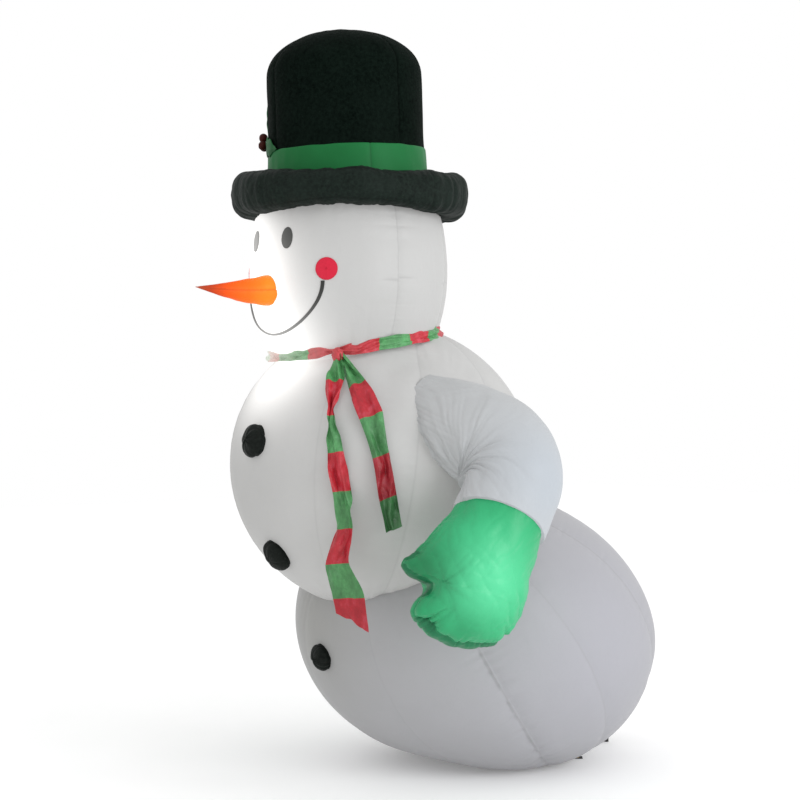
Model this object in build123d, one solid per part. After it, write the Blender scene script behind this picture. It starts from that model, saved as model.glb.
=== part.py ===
from build123d import *
import os
from math import sin, cos, degrees, radians, sqrt

# Inflatable yard snowman, 2.43 m tall: fabric shells held up by a small blower.
# The snowman faces -Y and its left side is +X.  The origin is on the ground, inside the
# patch of the base that rests there.  Sizes are in millimetres.

# ---- driving dimensions -------------------------------------------------------------
FABRIC = 1.2            # thickness that stands for one layer of coated polyester
SEAM_GAP = 0.3          # space between neighbouring pieces sewn to each other
WAIST_GAP = 5.0         # space round the torso where it sits in the lower body
SHOULDER_GAP = 5.0      # space between the torso and the root of an arm

# balls of the body: radial and polar half sizes, centre and backward lean in degrees
LOWER_RADIAL, LOWER_POLAR, LOWER_CENTRE, LOWER_LEAN = 619, 480, (0, -65, 460), 15.5
LOWER_FLAT, LOWER_UNDER = 115, 468      # the lower half is fuller, round a flat middle
TORSO_RADIAL, TORSO_POLAR, TORSO_CENTRE, TORSO_LEAN = 505, 466, (0, -461, 1025), 14
TORSO_UNDER = 488                       # the lower half is fuller

HEAD_Y = -600           # the head and the hat share one upright axis
HEAD_CORE = 100         # radius of the circle that the head's side is rounded about
HEAD_BULGE = 223        # from that circle out to the widest line of the head
HEAD_WIDEST_Z = 1640
HEAD_DROOP = 358        # half height of the lower rounding
HEAD_RISE = 465         # half height of the upper rounding
HEAD_TOP_Z = 1848
HEAD_BASE_Z = 1340

BRIM_Z, BRIM_RING, BRIM_HALF_WIDTH, BRIM_HALF_HEIGHT = 1890, 321.5, 70, 63
CROWN_RADIUS, CROWN_SIDE_Z, CROWN_DOME = 250, 2330, 98
HAT_LEAN = 2.5          # the crown leans forward from the middle of the brim
BAND_LOW_Z, BAND_HIGH_Z = 1948, 2041

NOSE_Z, NOSE_RADIUS, NOSE_TIP_RADIUS = 1582, 47, 3.5
NOSE_ROOT_Y, NOSE_TIP_Y = -880, -1177
EYE_Z, EYE_ANGLE, EYE_HALF_WIDTH, EYE_HALF_HEIGHT = 1740, 15.5, 21, 36
CHEEK_Z, CHEEK_ANGLE, CHEEK_RADIUS = 1640, 42, 35
MOUTH_HALF_WIDTH, MOUTH_DEPTH, MOUTH_LINE = 199, 168, 13
MOUTH_TOP_Z = 1603

BUTTON_RADIUS, BUTTON_HALF_THICK = 51, 36
BUTTON_HEIGHTS = {"button_top": 1111, "button_middle": 747, "button_bottom": 401}
BUTTON_ANGLES = {"button_top": 0, "button_middle": 0, "button_bottom": -5.5}

# left arm, as the centre line and radius of a stuffed tube that ends in a mitten
SHOULDER = (340, -550, 1200)
ELBOW = (655, -430, 1050)
WRIST = (682, -570, 875)
ARM_RADIUS, ELBOW_BEND = 158, 172
MITTEN_TIP = (690, -724, 530)
THUMB_ROOT = (660, -680, 790)
THUMB_TIP = (625, -815, 765)
PALM_HALF_WIDTH, PALM_HALF_THICK = 170, 110
RIGHT_ARM_TURN = 46     # the right arm hangs this much further back, about its shoulder

SCARF_WIDTH, SCARF_THICK, TAIL_WIDTH, TAIL_LIFT = 46, 3.0, 76, 4.0
HUNG_THICK = 5.0        # the hanging part of a tail, with the folds that it hangs in
KNOT_ANGLE = 44.6
LONG_TAIL_ANGLE, LONG_TAIL_END_Z = 38.0, 568
SHORT_TAIL_ANGLE, SHORT_TAIL_END_Z = 53.5, 856
TAIL_GAP = 1.5                                  # from each tail to the plane between them

BLOWER_Z, BLOWER_RADIUS, BLOWER_WALL = 127, 100, 3.0
BLOWER_FRONT_Y, BLOWER_SPLIT_Y, BLOWER_REAR_Y = 348, 444, 520
INTAKE_RADIUS, IMPELLER_RADIUS, SHAFT_RADIUS = 70, 78, 4.0
MOTOR_RADIUS, MOTOR_LENGTH = 42, 70
SLEEVE_RADIUS = 102


POLE_FLAT = 1.5         # radius of the tiny flat that ends each round body on its axis


# ---- helpers ------------------------------------------------------------------------
def closed_to_axis(*side):
    """Close the side of an outline with straight lines to and along its upright axis."""
    low, high = side[0] @ 0, side[-1] @ 1
    return Curve() + [Line((0, low.Y), low), *side, Line(high, (0, high.Y)),
                      Line((0, high.Y), (0, low.Y))]


class Ball:
    """A round body of revolution whose upright axis leans backward.

    flat and under give a fuller lower half: its rounding starts at a flat disc.
    """

    def __init__(self, radial, polar, centre, lean, flat=POLE_FLAT, under=None):
        self.radial, self.polar, self.flat = radial, polar, flat
        self.under = under or polar
        self.place = Location(centre, (-lean, 0, 0))
        self.centre = Vector(*centre)
        self.axis = Vector(0, sin(radians(lean)), cos(radians(lean)))

    def solid(self, grow=0.0):
        low = EllipticalCenterArc((self.flat, 0), self.radial + grow - self.flat,
                                  self.under + grow, -90, arc_size=90)
        high = EllipticalCenterArc((0, 0), self.radial + grow, self.polar + grow, 0,
                                   arc_size=90 - degrees(POLE_FLAT / self.radial))
        return self.place * revolve(make_face(Plane.XZ * closed_to_axis(low, high)), Axis.Z)

    def shell(self):
        return self.solid() - self.solid(-FABRIC)

    def hit(self, start, direction):
        """The last point where a ray meets the surface, apart from a flat underside."""
        ray, gap = Vector(*direction).normalized(), Vector(*start) - self.centre
        ray_up, gap_up = ray.dot(self.axis), gap.dot(self.axis)
        ray_out, gap_out = ray - self.axis * ray_up, gap - self.axis * gap_up
        for half in (self.polar, self.half(-1)):
            a = ray_out.dot(ray_out) / self.radial ** 2 + ray_up ** 2 / half ** 2
            b = ray_out.dot(gap_out) / self.radial ** 2 + ray_up * gap_up / half ** 2
            c = gap_out.dot(gap_out) / self.radial ** 2 + gap_up ** 2 / half ** 2 - 1
            far = (-b + sqrt(b * b - a * c)) / a
            if gap_up + ray_up * far >= 0:
                break
        return Vector(*start) + ray * far

    def half(self, up):
        """The polar radius of the half that a height above the middle is in."""
        return self.polar if up >= 0 or self.flat > POLE_FLAT else self.under

    def normal(self, point):
        gap = point - self.centre
        up = gap.dot(self.axis)
        out = gap - self.axis * up
        return (out * (1 / self.radial ** 2) + self.axis * (up / self.half(up) ** 2)).normalized()


def heading(angle):
    """Level direction at an angle from the front, towards the snowman's left."""
    return Vector(sin(radians(angle)), -cos(radians(angle)), 0)


def upright_ring(outline, y=HEAD_Y):
    return Location((0, y, 0)) * revolve(make_face(Plane.XZ * outline), Axis.Z)


def leaned(solid):
    """Lean a piece of the hat forward about the middle of the brim."""
    centre = Location((0, HEAD_Y, BRIM_Z))
    return centre * Location((0, 0, 0), (HAT_LEAN, 0, 0)) * centre.inverse() * solid


def tube_between(start, end, radius_start, radius_end):
    run = Vector(*end) - Vector(*start)
    standing = (Align.CENTER, Align.CENTER, Align.MIN)
    if radius_start == radius_end:
        tube = Cylinder(radius_start, run.length, align=standing)
    else:
        tube = Cone(radius_start, radius_end, run.length, align=standing)
    return Plane(origin=start, z_dir=run).location * tube


def ball_at(centre, radius):
    return Location(centre) * Sphere(radius)


def along_y(radius, start, end, x=0.0, z=BLOWER_Z):
    """A round bar parallel to Y."""
    return Plane(origin=(x, start, z), x_dir=(1, 0, 0), z_dir=(0, 1, 0)).location * Cylinder(
        radius, end - start, align=(Align.CENTER, Align.CENTER, Align.MIN))


def on_side(solid, side):
    """A piece of the left arm as it is, or made into its partner on the right.

    The right arm is mirrored and turned back about the shoulder's outward axis.
    """
    if side > 0:
        return solid
    root = Vector(-SHOULDER[0], SHOULDER[1], SHOULDER[2])
    outward = Axis(TORSO.centre, root - TORSO.centre)
    return solid.mirror(Plane.YZ).rotate(outward, -RIGHT_ARM_TURN)


def half_space(z, above=True):
    align = (Align.CENTER, Align.CENTER, Align.MIN if above else Align.MAX)
    return Location((0, 0, z)) * Box(4000, 4000, 4000, align=align)


LOWER = Ball(LOWER_RADIAL, LOWER_POLAR, LOWER_CENTRE, LOWER_LEAN, LOWER_FLAT, LOWER_UNDER)
TORSO = Ball(TORSO_RADIAL, TORSO_POLAR, TORSO_CENTRE, TORSO_LEAN, under=TORSO_UNDER)


# ---- body ---------------------------------------------------------------------------
FLOOR_PANEL_THICK = 1.5
AIR_PORT_RADIUS = 120


def lower_body():
    ground = half_space(FLOOR_PANEL_THICK + SEAM_GAP, above=False)
    socket = TORSO.solid(WAIST_GAP)
    sleeve_hole = along_y(SLEEVE_RADIUS + FABRIC + SEAM_GAP, 150, 700)
    strap_room = along_y(SLEEVE_RADIUS + BUCKLE_HEIGHT + 6, STRAP_Y - STRAP_HALF_WIDTH - 4, 700)
    return LOWER.shell() - ground - socket - sleeve_hole - strap_room


def floor_panel():
    slab = half_space(0) & half_space(FLOOR_PANEL_THICK, above=False)
    return LOWER.solid() & slab


def torso():
    neck_port = Location((0, HEAD_Y, 1400)) * Cylinder(AIR_PORT_RADIUS, 400)
    waist_port = Location((0, -330, 600)) * Cylinder(AIR_PORT_RADIUS, 400)
    shell = TORSO.shell() - neck_port - waist_port
    for side in (1, -1):
        root = (side * SHOULDER[0], SHOULDER[1], SHOULDER[2])
        out = TORSO.normal(TORSO.hit(TORSO_CENTRE, Vector(*root) - TORSO.centre))
        start = Vector(*root) - out * 60
        shell -= tube_between(start, (start + out * 200), 60, 60)
    return shell


def head_solid(grow=0.0):
    low = EllipticalCenterArc((HEAD_CORE, HEAD_WIDEST_Z), HEAD_BULGE + grow,
                              HEAD_DROOP + grow, -60, arc_size=60)
    high = EllipticalCenterArc((HEAD_CORE, HEAD_WIDEST_Z), HEAD_BULGE + grow,
                               HEAD_RISE + grow, 0, arc_size=40)
    return upright_ring(closed_to_axis(low, high)) - half_space(HEAD_TOP_Z + grow)


def brim_solid(grow=0.0):
    ring = Plane.XZ * (Location((BRIM_RING, BRIM_Z)) * Ellipse(
        BRIM_HALF_WIDTH + grow, BRIM_HALF_HEIGHT + grow))
    return Location((0, HEAD_Y, 0)) * revolve(ring, Axis.Z)


def head():
    outer = head_solid() - brim_solid(SEAM_GAP)
    inner = head_solid(-FABRIC) - brim_solid(SEAM_GAP + FABRIC)
    hat_port = Location((0, HEAD_Y, HEAD_TOP_Z)) * Cylinder(AIR_PORT_RADIUS, 60)
    return outer - inner - hat_port - TORSO.solid(SEAM_GAP)


def crown_solid(grow=0.0):
    dome = EllipticalCenterArc((0, CROWN_SIDE_Z), CROWN_RADIUS + grow, CROWN_DOME + grow, 0,
                               arc_size=90 - degrees(POLE_FLAT / CROWN_RADIUS))
    side = Line((CROWN_RADIUS + grow, BRIM_Z - 60), dome @ 0)
    return leaned(upright_ring(closed_to_axis(side, dome)))


def hat_crown():
    return crown_solid() - crown_solid(-FABRIC) - half_space(HEAD_TOP_Z + SEAM_GAP, above=False)


def hat_brim():
    return brim_solid() - brim_solid(-FABRIC)


def hat_band():
    slab = half_space(BAND_LOW_Z) & half_space(BAND_HIGH_Z, above=False)
    return (crown_solid(SEAM_GAP + FABRIC) - crown_solid(SEAM_GAP)) & leaned(slab)


# ---- trim on the hat and the face ---------------------------------------------------
HOLLY_ANGLE, HOLLY_Z = -42, 2072
BERRY_RADIUS = 15
LEAF_LENGTH, LEAF_HALF_WIDTH = 150, 32
LEAF_TURNS = {"holly_leaf_upright": 8, "holly_leaf_left": 105, "holly_leaf_right": -100}


def facing(angle, z, y=HEAD_Y):
    """A plane on the head's axis that looks out at an angle, with its x axis level."""
    out = heading(angle)
    level = Vector(-out.Y, out.X, 0)
    return Plane(origin=(0, y, z), x_dir=level, z_dir=out)


def patch(solid_at, angle, z, outline, low=SEAM_GAP, thick=FABRIC):
    """A sewn-on patch: the stretch of a skin that lies behind a flat outline."""
    prism = facing(angle, z) * extrude(outline, 600)
    return (solid_at(low + thick) - solid_at(low)) & prism


def leaf_outline(turn):
    half = ThreePointArc((0, 0), (LEAF_HALF_WIDTH, LEAF_LENGTH / 2), (0, LEAF_LENGTH))
    other = ThreePointArc((0, LEAF_LENGTH), (-LEAF_HALF_WIDTH, LEAF_LENGTH / 2), (0, 0))
    return Rotation(0, 0, turn) * Location((0, BERRY_RADIUS)) * make_face(Curve() + [half, other])


def holly_leaf(turn, layer):
    low = SEAM_GAP + FABRIC + 0.5 + layer * (FABRIC + 0.5)
    return patch(crown_solid, HOLLY_ANGLE, HOLLY_Z, leaf_outline(turn), low)


def holly_berries():
    """Three stuffed berries in one cluster, clear of each other and of the leaves."""
    cluster = []
    for turn in (90, 210, 330):
        across = 1.2 * BERRY_RADIUS * cos(radians(turn))
        up = 1.2 * BERRY_RADIUS * sin(radians(turn))
        out = CROWN_RADIUS + BERRY_RADIUS + 7
        centre = facing(HOLLY_ANGLE, HOLLY_Z).from_local_coords((across, up, out))
        forward = (HOLLY_Z - BRIM_Z) * sin(radians(HAT_LEAN))
        cluster.append(ball_at((centre + Vector(0, -forward, 0)), BERRY_RADIUS))
    return Compound(children=cluster)


def eye(side):
    return patch(head_solid, side * EYE_ANGLE, EYE_Z, Ellipse(EYE_HALF_WIDTH, EYE_HALF_HEIGHT))


def cheek(side):
    return patch(head_solid, side * CHEEK_ANGLE, CHEEK_Z, Circle(CHEEK_RADIUS))


def mouth():
    """A smile: the lower half of an oval line that runs from cheek to cheek."""
    half = MOUTH_LINE / 2
    line = Ellipse(MOUTH_HALF_WIDTH + half, MOUTH_DEPTH + half)
    line -= Ellipse(MOUTH_HALF_WIDTH - half, MOUTH_DEPTH - half)
    line -= Rectangle(800, 400, align=(Align.CENTER, Align.MIN))
    return patch(head_solid, 0, MOUTH_TOP_Z, line)


def nose_solid(shrink=0.0):
    """A slightly bulging carrot along Y, from just inside the head."""
    length = NOSE_ROOT_Y - NOSE_TIP_Y
    base, tip = NOSE_RADIUS - shrink, NOSE_TIP_RADIUS - shrink / 2
    side = ThreePointArc((base, 0), (0.58 * base, 0.55 * length), (tip, length - 2 * shrink))
    carrot = revolve(make_face(Plane.XZ * closed_to_axis(side)), Axis.Z)
    root = Plane(origin=(0, NOSE_ROOT_Y, NOSE_Z), x_dir=(1, 0, 0), z_dir=(0, -1, 0))
    return root.location * carrot


def nose():
    return nose_solid() - nose_solid(FABRIC) - head_solid(SEAM_GAP)


def button(name):
    """A stuffed cushion sewn to the front, flat side against the body."""
    ball = LOWER if name == "button_bottom" else TORSO
    z = BUTTON_HEIGHTS[name]
    point = ball.hit((0, ball.centre.Y, z), heading(BUTTON_ANGLES[name]))
    cushion = Ball(BUTTON_RADIUS, BUTTON_HALF_THICK, (0, 0, 0), 0).solid()
    plane = Plane(origin=point, x_dir=(1, 0, 0), z_dir=ball.normal(point))
    return plane.location * cushion - ball.solid(SEAM_GAP)


# ---- arms ---------------------------------------------------------------------------
def arm_tube(shrink=0.0, extra=0.0):
    """Round tube that bends once, at the elbow."""
    wrist = Vector(*WRIST) + (Vector(*WRIST) - Vector(*ELBOW)).normalized() * extra
    route = FilletPolyline(SHOULDER, ELBOW, wrist, radius=ELBOW_BEND)
    section = Plane(origin=route @ 0, z_dir=route % 0) * Circle(ARM_RADIUS - shrink)
    return sweep(section, path=route)


def arm(side):
    return on_side(arm_tube() - arm_tube(FABRIC, extra=5), side) - TORSO.solid(SHOULDER_GAP)


# share of the mitten's length, and of its half width and half thickness, at each section
MITTEN_SECTIONS = ((0.0, 0.84, 1.25), (0.3, 0.97, 1.15), (0.62, 1.0, 0.95), (0.88, 0.78, 0.66),
                   (1.0, 0.42, 0.30))


def mitten_solid(shrink=0.0):
    axis = (Vector(*MITTEN_TIP) - Vector(*WRIST))
    forward = Vector(*THUMB_TIP) - Vector(*THUMB_ROOT)
    start = Vector(*WRIST) + axis.normalized() * (1.5 + shrink)
    sections = []
    for along, wide, thick in MITTEN_SECTIONS:
        origin = start + axis * along * (1 - shrink / axis.length)
        plane = Plane(origin=origin, x_dir=forward - axis * (forward.dot(axis) / axis.length ** 2),
                      z_dir=axis)
        sections.append(plane * Ellipse(PALM_HALF_WIDTH * wide - shrink,
                                        PALM_HALF_THICK * thick - shrink))
    thumb = tube_between(THUMB_ROOT, THUMB_TIP, 78 - shrink, 52 - shrink)
    thumb += ball_at(THUMB_TIP, 52 - shrink)
    return loft(sections) + thumb


def mitten(side):
    return on_side(mitten_solid() - mitten_solid(FABRIC), side)


# ---- scarf --------------------------------------------------------------------------
NECK_CENTRE, NECK_RADIUS, NECK_LEAN = (0, -578, 1428), 298, 11
KNOT_RADIUS, KNOT_OUT = 34, 300


def scarf_wrap():
    """A strip of cloth laid round the neck, leaning forward with it."""
    band = Cylinder(NECK_RADIUS + SCARF_THICK, SCARF_WIDTH) - Cylinder(NECK_RADIUS, SCARF_WIDTH)
    placed = Location(NECK_CENTRE, (NECK_LEAN, 0, 0)) * band
    return placed - TORSO.solid(SEAM_GAP) - knot_solid(SEAM_GAP)


def knot_centre():
    out = Vector(*NECK_CENTRE) + heading(KNOT_ANGLE) * KNOT_OUT
    drop = KNOT_OUT * cos(radians(KNOT_ANGLE)) * sin(radians(NECK_LEAN))
    return out - Vector(0, 0, drop + 4)


def knot_solid(grow=0.0):
    shape = Ball(KNOT_RADIUS + grow, 0.8 * KNOT_RADIUS + grow, (0, 0, 0), 0).solid()
    return Plane(origin=knot_centre(), z_dir=heading(KNOT_ANGLE)).location * shape


def scarf_knot():
    return knot_solid() - head_solid(SEAM_GAP) - TORSO.solid(SEAM_GAP)


def tails_apart(turn):
    """The space on one side of the plane midway between the two tails."""
    between = TORSO.hit(Vector(0, TORSO.centre.Y, TORSO.centre.Z - 20),
                        heading((LONG_TAIL_ANGLE + SHORT_TAIL_ANGLE) / 2))
    normal = (knot_centre() - TORSO.centre).cross(between - TORSO.centre).normalized()
    normal = normal * (turn if normal.dot(heading(90)) > 0 else -turn)
    plane = Plane(origin=TORSO.centre + normal * TAIL_GAP, z_dir=normal)
    return plane.location * Box(3000, 3000, 1500, align=(Align.CENTER, Align.CENTER, Align.MIN))


def scarf_tail(angle, end_z, turn):
    """A strip that runs from the knot over the torso and hangs free below its widest line."""
    side_z = TORSO.centre.Z - 20
    middle = Vector(0, TORSO.centre.Y, side_z)
    side = TORSO.hit(middle, heading(angle))
    out = (side - middle).normalized()
    across = out.cross(side - knot_centre()).normalized()
    lined_up = TORSO.centre + across * (knot_centre() - TORSO.centre).dot(across)
    slab = Plane(origin=lined_up, x_dir=across, z_dir=across.cross(Vector(0, 0, 1)) * -1)
    slab = slab if slab.z_dir.dot(out) > 0 else Plane(slab.origin, slab.x_dir, slab.z_dir * -1)
    over = slab.location * Box(TAIL_WIDTH, 2000, 900, align=(Align.CENTER, Align.CENTER, Align.MIN))
    laid = (TORSO.solid(TAIL_LIFT + SCARF_THICK) - TORSO.solid(TAIL_LIFT)) & over
    laid = laid & half_space(side_z)
    down = slab.y_dir * (-1 if slab.y_dir.Z > 0 else 1)
    start = side + slab.z_dir * (TAIL_LIFT + SCARF_THICK - HUNG_THICK / 2) - down * 0.5
    hung = Plane(origin=start, x_dir=across, z_dir=down).location * Box(
        TAIL_WIDTH, HUNG_THICK, (side_z - end_z) / -down.Z,
        align=(Align.CENTER, Align.CENTER, Align.MIN))
    whole = laid + hung - knot_solid(2.0) - head_solid(6.0) - neck_clearance()
    return whole & tails_apart(turn)


def neck_clearance():
    """The space kept free of the tails round the neck."""
    return Location(NECK_CENTRE, (NECK_LEAN, 0, 0)) * Cylinder(NECK_RADIUS + 8, 90)


# ---- blower -------------------------------------------------------------------------
GRILLE_RINGS = (16, 30, 44, 58)
SCREW_RING, SCREW_RADIUS = 92, 2.0
GLAND_X, GLAND_Z = -60, BLOWER_Z - 60
FOOT_X = 42


def screw_places():
    spread = SCREW_RING / sqrt(2)
    return [(x, BLOWER_Z + z) for x in (-spread, spread) for z in (spread, )] + [
        (0, BLOWER_Z - SCREW_RING)]


def housing_rear():
    """Rear cup of the blower: its end wall holds the intake grille."""
    cup = along_y(BLOWER_RADIUS, BLOWER_SPLIT_Y + SEAM_GAP, BLOWER_REAR_Y)
    cup -= along_y(BLOWER_RADIUS - BLOWER_WALL, BLOWER_SPLIT_Y, BLOWER_REAR_Y - BLOWER_WALL)
    cup -= along_y(INTAKE_RADIUS + SEAM_GAP, BLOWER_REAR_Y - 10, BLOWER_REAR_Y + 1)
    for x, z in screw_places():
        cup += along_y(6, BLOWER_SPLIT_Y + SEAM_GAP, BLOWER_REAR_Y - 1, x, z)
    for x, z in screw_places():
        cup -= along_y(SCREW_RADIUS + 0.3, BLOWER_SPLIT_Y - 1, BLOWER_REAR_Y + 1, x, z)
    return cup - along_y(5.5, BLOWER_REAR_Y - 10, BLOWER_REAR_Y + 1, GLAND_X, GLAND_Z)


def housing_front():
    """Front cup of the blower: its end wall carries the motor and the outlet slots."""
    cup = along_y(BLOWER_RADIUS, BLOWER_FRONT_Y, BLOWER_SPLIT_Y)
    cup -= along_y(BLOWER_RADIUS - BLOWER_WALL, BLOWER_FRONT_Y + BLOWER_WALL, BLOWER_SPLIT_Y + 1)
    for turn in range(0, 360, 45):
        x, z = 72 * cos(radians(turn + 22.5)), 72 * sin(radians(turn + 22.5))
        cup -= along_y(17, BLOWER_FRONT_Y - 1, BLOWER_FRONT_Y + 10, x, BLOWER_Z + z)
    for x, z in screw_places():
        cup += along_y(6, BLOWER_SPLIT_Y - 25, BLOWER_SPLIT_Y, x, z)
        cup -= along_y(SCREW_RADIUS + 0.3, BLOWER_SPLIT_Y - 22, BLOWER_SPLIT_Y + 1, x, z)
    return cup


def inlet_grille():
    """Round guard of rings and spokes, set in the end wall of the rear cup."""
    depth = (BLOWER_REAR_Y - BLOWER_WALL, BLOWER_REAR_Y)
    guard = along_y(INTAKE_RADIUS, *depth) - along_y(INTAKE_RADIUS - 4, *depth)
    guard += along_y(5, *depth)
    for radius in GRILLE_RINGS:
        guard += along_y(radius + 1.5, *depth) - along_y(radius - 1.5, *depth)
    middle = (0, BLOWER_REAR_Y - BLOWER_WALL / 2, BLOWER_Z)
    for turn in (0, 60, 120):
        guard += Location(middle, (0, turn, 0)) * Box(2 * INTAKE_RADIUS - 4, BLOWER_WALL, 3)
    return guard


def housing_screws():
    group = []
    for x, z in screw_places():
        shank = along_y(SCREW_RADIUS, BLOWER_SPLIT_Y - 18, BLOWER_REAR_Y + 0.2, x, z)
        cap = along_y(4, BLOWER_REAR_Y + 0.2, BLOWER_REAR_Y + 2.7, x, z)
        slot = Location((x, BLOWER_REAR_Y + 2.7, z)) * Box(5, 2, 1)
        group.append(shank + cap - slot)
    return Compound(children=group)


MOTOR_FRONT_Y = BLOWER_FRONT_Y + BLOWER_WALL + SEAM_GAP


def motor():
    rear = MOTOR_FRONT_Y + MOTOR_LENGTH
    can = along_y(MOTOR_RADIUS, MOTOR_FRONT_Y, rear) + along_y(14, rear, rear + 8)
    return can - along_y(SHAFT_RADIUS + 0.05, rear - 40, rear + 20)


def impeller_shaft():
    rear = MOTOR_FRONT_Y + MOTOR_LENGTH
    return along_y(SHAFT_RADIUS, rear - 35, BLOWER_SPLIT_Y + 44)


BLADES = 16


def impeller():
    """Moulded fan wheel: a back plate, curved-back blades, a front ring and a hub."""
    back, front = BLOWER_SPLIT_Y + 8, BLOWER_SPLIT_Y + 48
    wheel = along_y(IMPELLER_RADIUS, back, back + 3)
    wheel += along_y(12, back, front - 6)
    blade = Location((0.5 * (48 + IMPELLER_RADIUS) - 1, (back + front) / 2, 0),
                     (0, 28, 0)) * Box(IMPELLER_RADIUS - 48, front - back, 1.8)
    for count in range(BLADES):
        wheel += Location((0, 0, BLOWER_Z), (0, count * 360 / BLADES, 0)) * blade
    wheel += along_y(IMPELLER_RADIUS, front - 3, front) - along_y(50, front - 4, front + 1)
    return wheel - along_y(SHAFT_RADIUS, back - 1, front)


def blower_feet():
    """Two rubber runners that carry the blower on the ground."""
    group = []
    for x in (-FOOT_X, FOOT_X):
        block = Location((x, SLEEVE_END_Y + 1, 0)) * Box(
            26, BLOWER_REAR_Y - SLEEVE_END_Y - 1, 60, align=(Align.CENTER, Align.MIN, Align.MIN))
        group.append(block - along_y(BLOWER_RADIUS + SEAM_GAP, SLEEVE_END_Y, BLOWER_REAR_Y + 1))
    return Compound(children=group)


def cable_gland():
    """The fitting where the mains lead goes in."""
    gland = along_y(5.4, BLOWER_REAR_Y - BLOWER_WALL - 4, BLOWER_REAR_Y, GLAND_X, GLAND_Z)
    gland += along_y(10, BLOWER_REAR_Y + SEAM_GAP, BLOWER_REAR_Y + 6, GLAND_X, GLAND_Z)
    gland += along_y(5.4, BLOWER_REAR_Y - 1, BLOWER_REAR_Y + 1, GLAND_X, GLAND_Z)
    gland += Plane(origin=(GLAND_X, BLOWER_REAR_Y + 6, GLAND_Z), x_dir=(1, 0, 0),
                   z_dir=(0, 1, 0)).location * Cone(8, 6, 18, align=(Align.CENTER, Align.CENTER,
                                                                      Align.MIN))
    return gland - along_y(3.5, BLOWER_REAR_Y - 12, BLOWER_REAR_Y + 30, GLAND_X, GLAND_Z)


SLEEVE_START_Y, SLEEVE_END_Y = 300, 510
STRAP_Y, STRAP_HALF_WIDTH, BUCKLE_HEIGHT = 500, 8, 5


def blower_sleeve():
    """Fabric tube that the blower is strapped into."""
    return along_y(SLEEVE_RADIUS + FABRIC, SLEEVE_START_Y, SLEEVE_END_Y) - along_y(
        SLEEVE_RADIUS, SLEEVE_START_Y - 1, SLEEVE_END_Y + 1)


def sleeve_strap():
    """Webbing strap pulled round the sleeve, with its slide buckle."""
    inner = SLEEVE_RADIUS + FABRIC + SEAM_GAP
    low, high = STRAP_Y - STRAP_HALF_WIDTH, STRAP_Y + STRAP_HALF_WIDTH
    band = along_y(inner + 2, low, high) - along_y(inner, low - 1, high + 1)
    buckle = Location((0, STRAP_Y, BLOWER_Z + inner + 3)) * Box(30, 18, BUCKLE_HEIGHT)
    return band + (buckle - along_y(inner, STRAP_Y - 30, STRAP_Y + 30))


# ---- zipper at the back of the lower body -------------------------------------------
ZIP_HEIGHT = 150        # above the middle of the lower body, along its leaning axis
ZIP_HALF_ANGLE, ZIP_HALF_WIDTH = 15, 14
COIL_RADIUS = 2.6


def zip_radius(grow):
    """Distance from the leaning axis to the lower body's surface at the zipper's height."""
    return (LOWER_RADIAL + grow) * sqrt(1 - (ZIP_HEIGHT / (LOWER_POLAR + grow)) ** 2)


def zip_wedge(half_angle):
    """A wedge behind the leaning axis, in the lower body's own frame."""
    reach = 900
    side = reach * sin(radians(half_angle))
    deep = reach * cos(radians(half_angle))
    outline = Polyline((0, 0), (side, deep), (-side, deep), (0, 0))
    return extrude(make_face(outline), 400, both=True)


def zip_slab(half_width):
    return Location((0, 0, ZIP_HEIGHT)) * Box(2000, 2000, 2 * half_width)


def zipper_tape():
    skin = LOWER.solid(SEAM_GAP + FABRIC) - LOWER.solid(SEAM_GAP)
    return skin & LOWER.place * (zip_slab(ZIP_HALF_WIDTH) & zip_wedge(ZIP_HALF_ANGLE))


def zipper_coil():
    ring = Location((0, 0, ZIP_HEIGHT)) * Torus(zip_radius(SEAM_GAP + FABRIC) + COIL_RADIUS + 1.2,
                                                COIL_RADIUS)
    return LOWER.place * (ring & zip_wedge(ZIP_HALF_ANGLE - 0.5))


def zipper_slider():
    """A shallow saddle that rides over the coil, with a lug for its pull."""
    inner = zip_radius(SEAM_GAP + FABRIC) + 2 * COIL_RADIUS + 2.6
    saddle = Location((0, inner + 2, ZIP_HEIGHT)) * Box(20, 4, 14)
    saddle += Location((0, inner + 5.5, ZIP_HEIGHT)) * Box(4, 5, 8)
    turned = Rotation(0, 0, ZIP_HALF_ANGLE - 2.5) * saddle
    return LOWER.place * turned


def zipper_pull():
    """A flat pull that hangs from the slider's lug."""
    out = zip_radius(SEAM_GAP + FABRIC) + 2 * COIL_RADIUS + 2.6 + 8.6
    plate = Location((0, out + 1.2, ZIP_HEIGHT - 12)) * Box(11, 2.2, 34)
    plate -= Location((0, out + 1.2, ZIP_HEIGHT - 23)) * Rotation(90, 0, 0) * Cylinder(2.6, 10)
    return LOWER.place * Rotation(0, 0, ZIP_HALF_ANGLE - 2.5) * plate


# ---- anchoring ----------------------------------------------------------------------
TETHER_ANGLE, TETHER_Z = 160, 1050
RING_RADIUS, RING_WIRE, LOOP_OUT = 16, 2.5, 8
STAKE_ANGLE, STAKE_REACH = 140, 300
GROMMET_RADIUS, GROMMET_FLANGE = 6.0, 12.0


def tether_frame(side):
    """A plane that touches the back of the torso, looking out, with its y axis up."""
    out = heading(side * TETHER_ANGLE)
    point = TORSO.hit((0, TORSO.centre.Y, TETHER_Z), out)
    level = Vector(-out.Y, out.X, 0)
    normal = TORSO.normal(point)
    return Plane(origin=point, x_dir=level, z_dir=normal)


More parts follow.
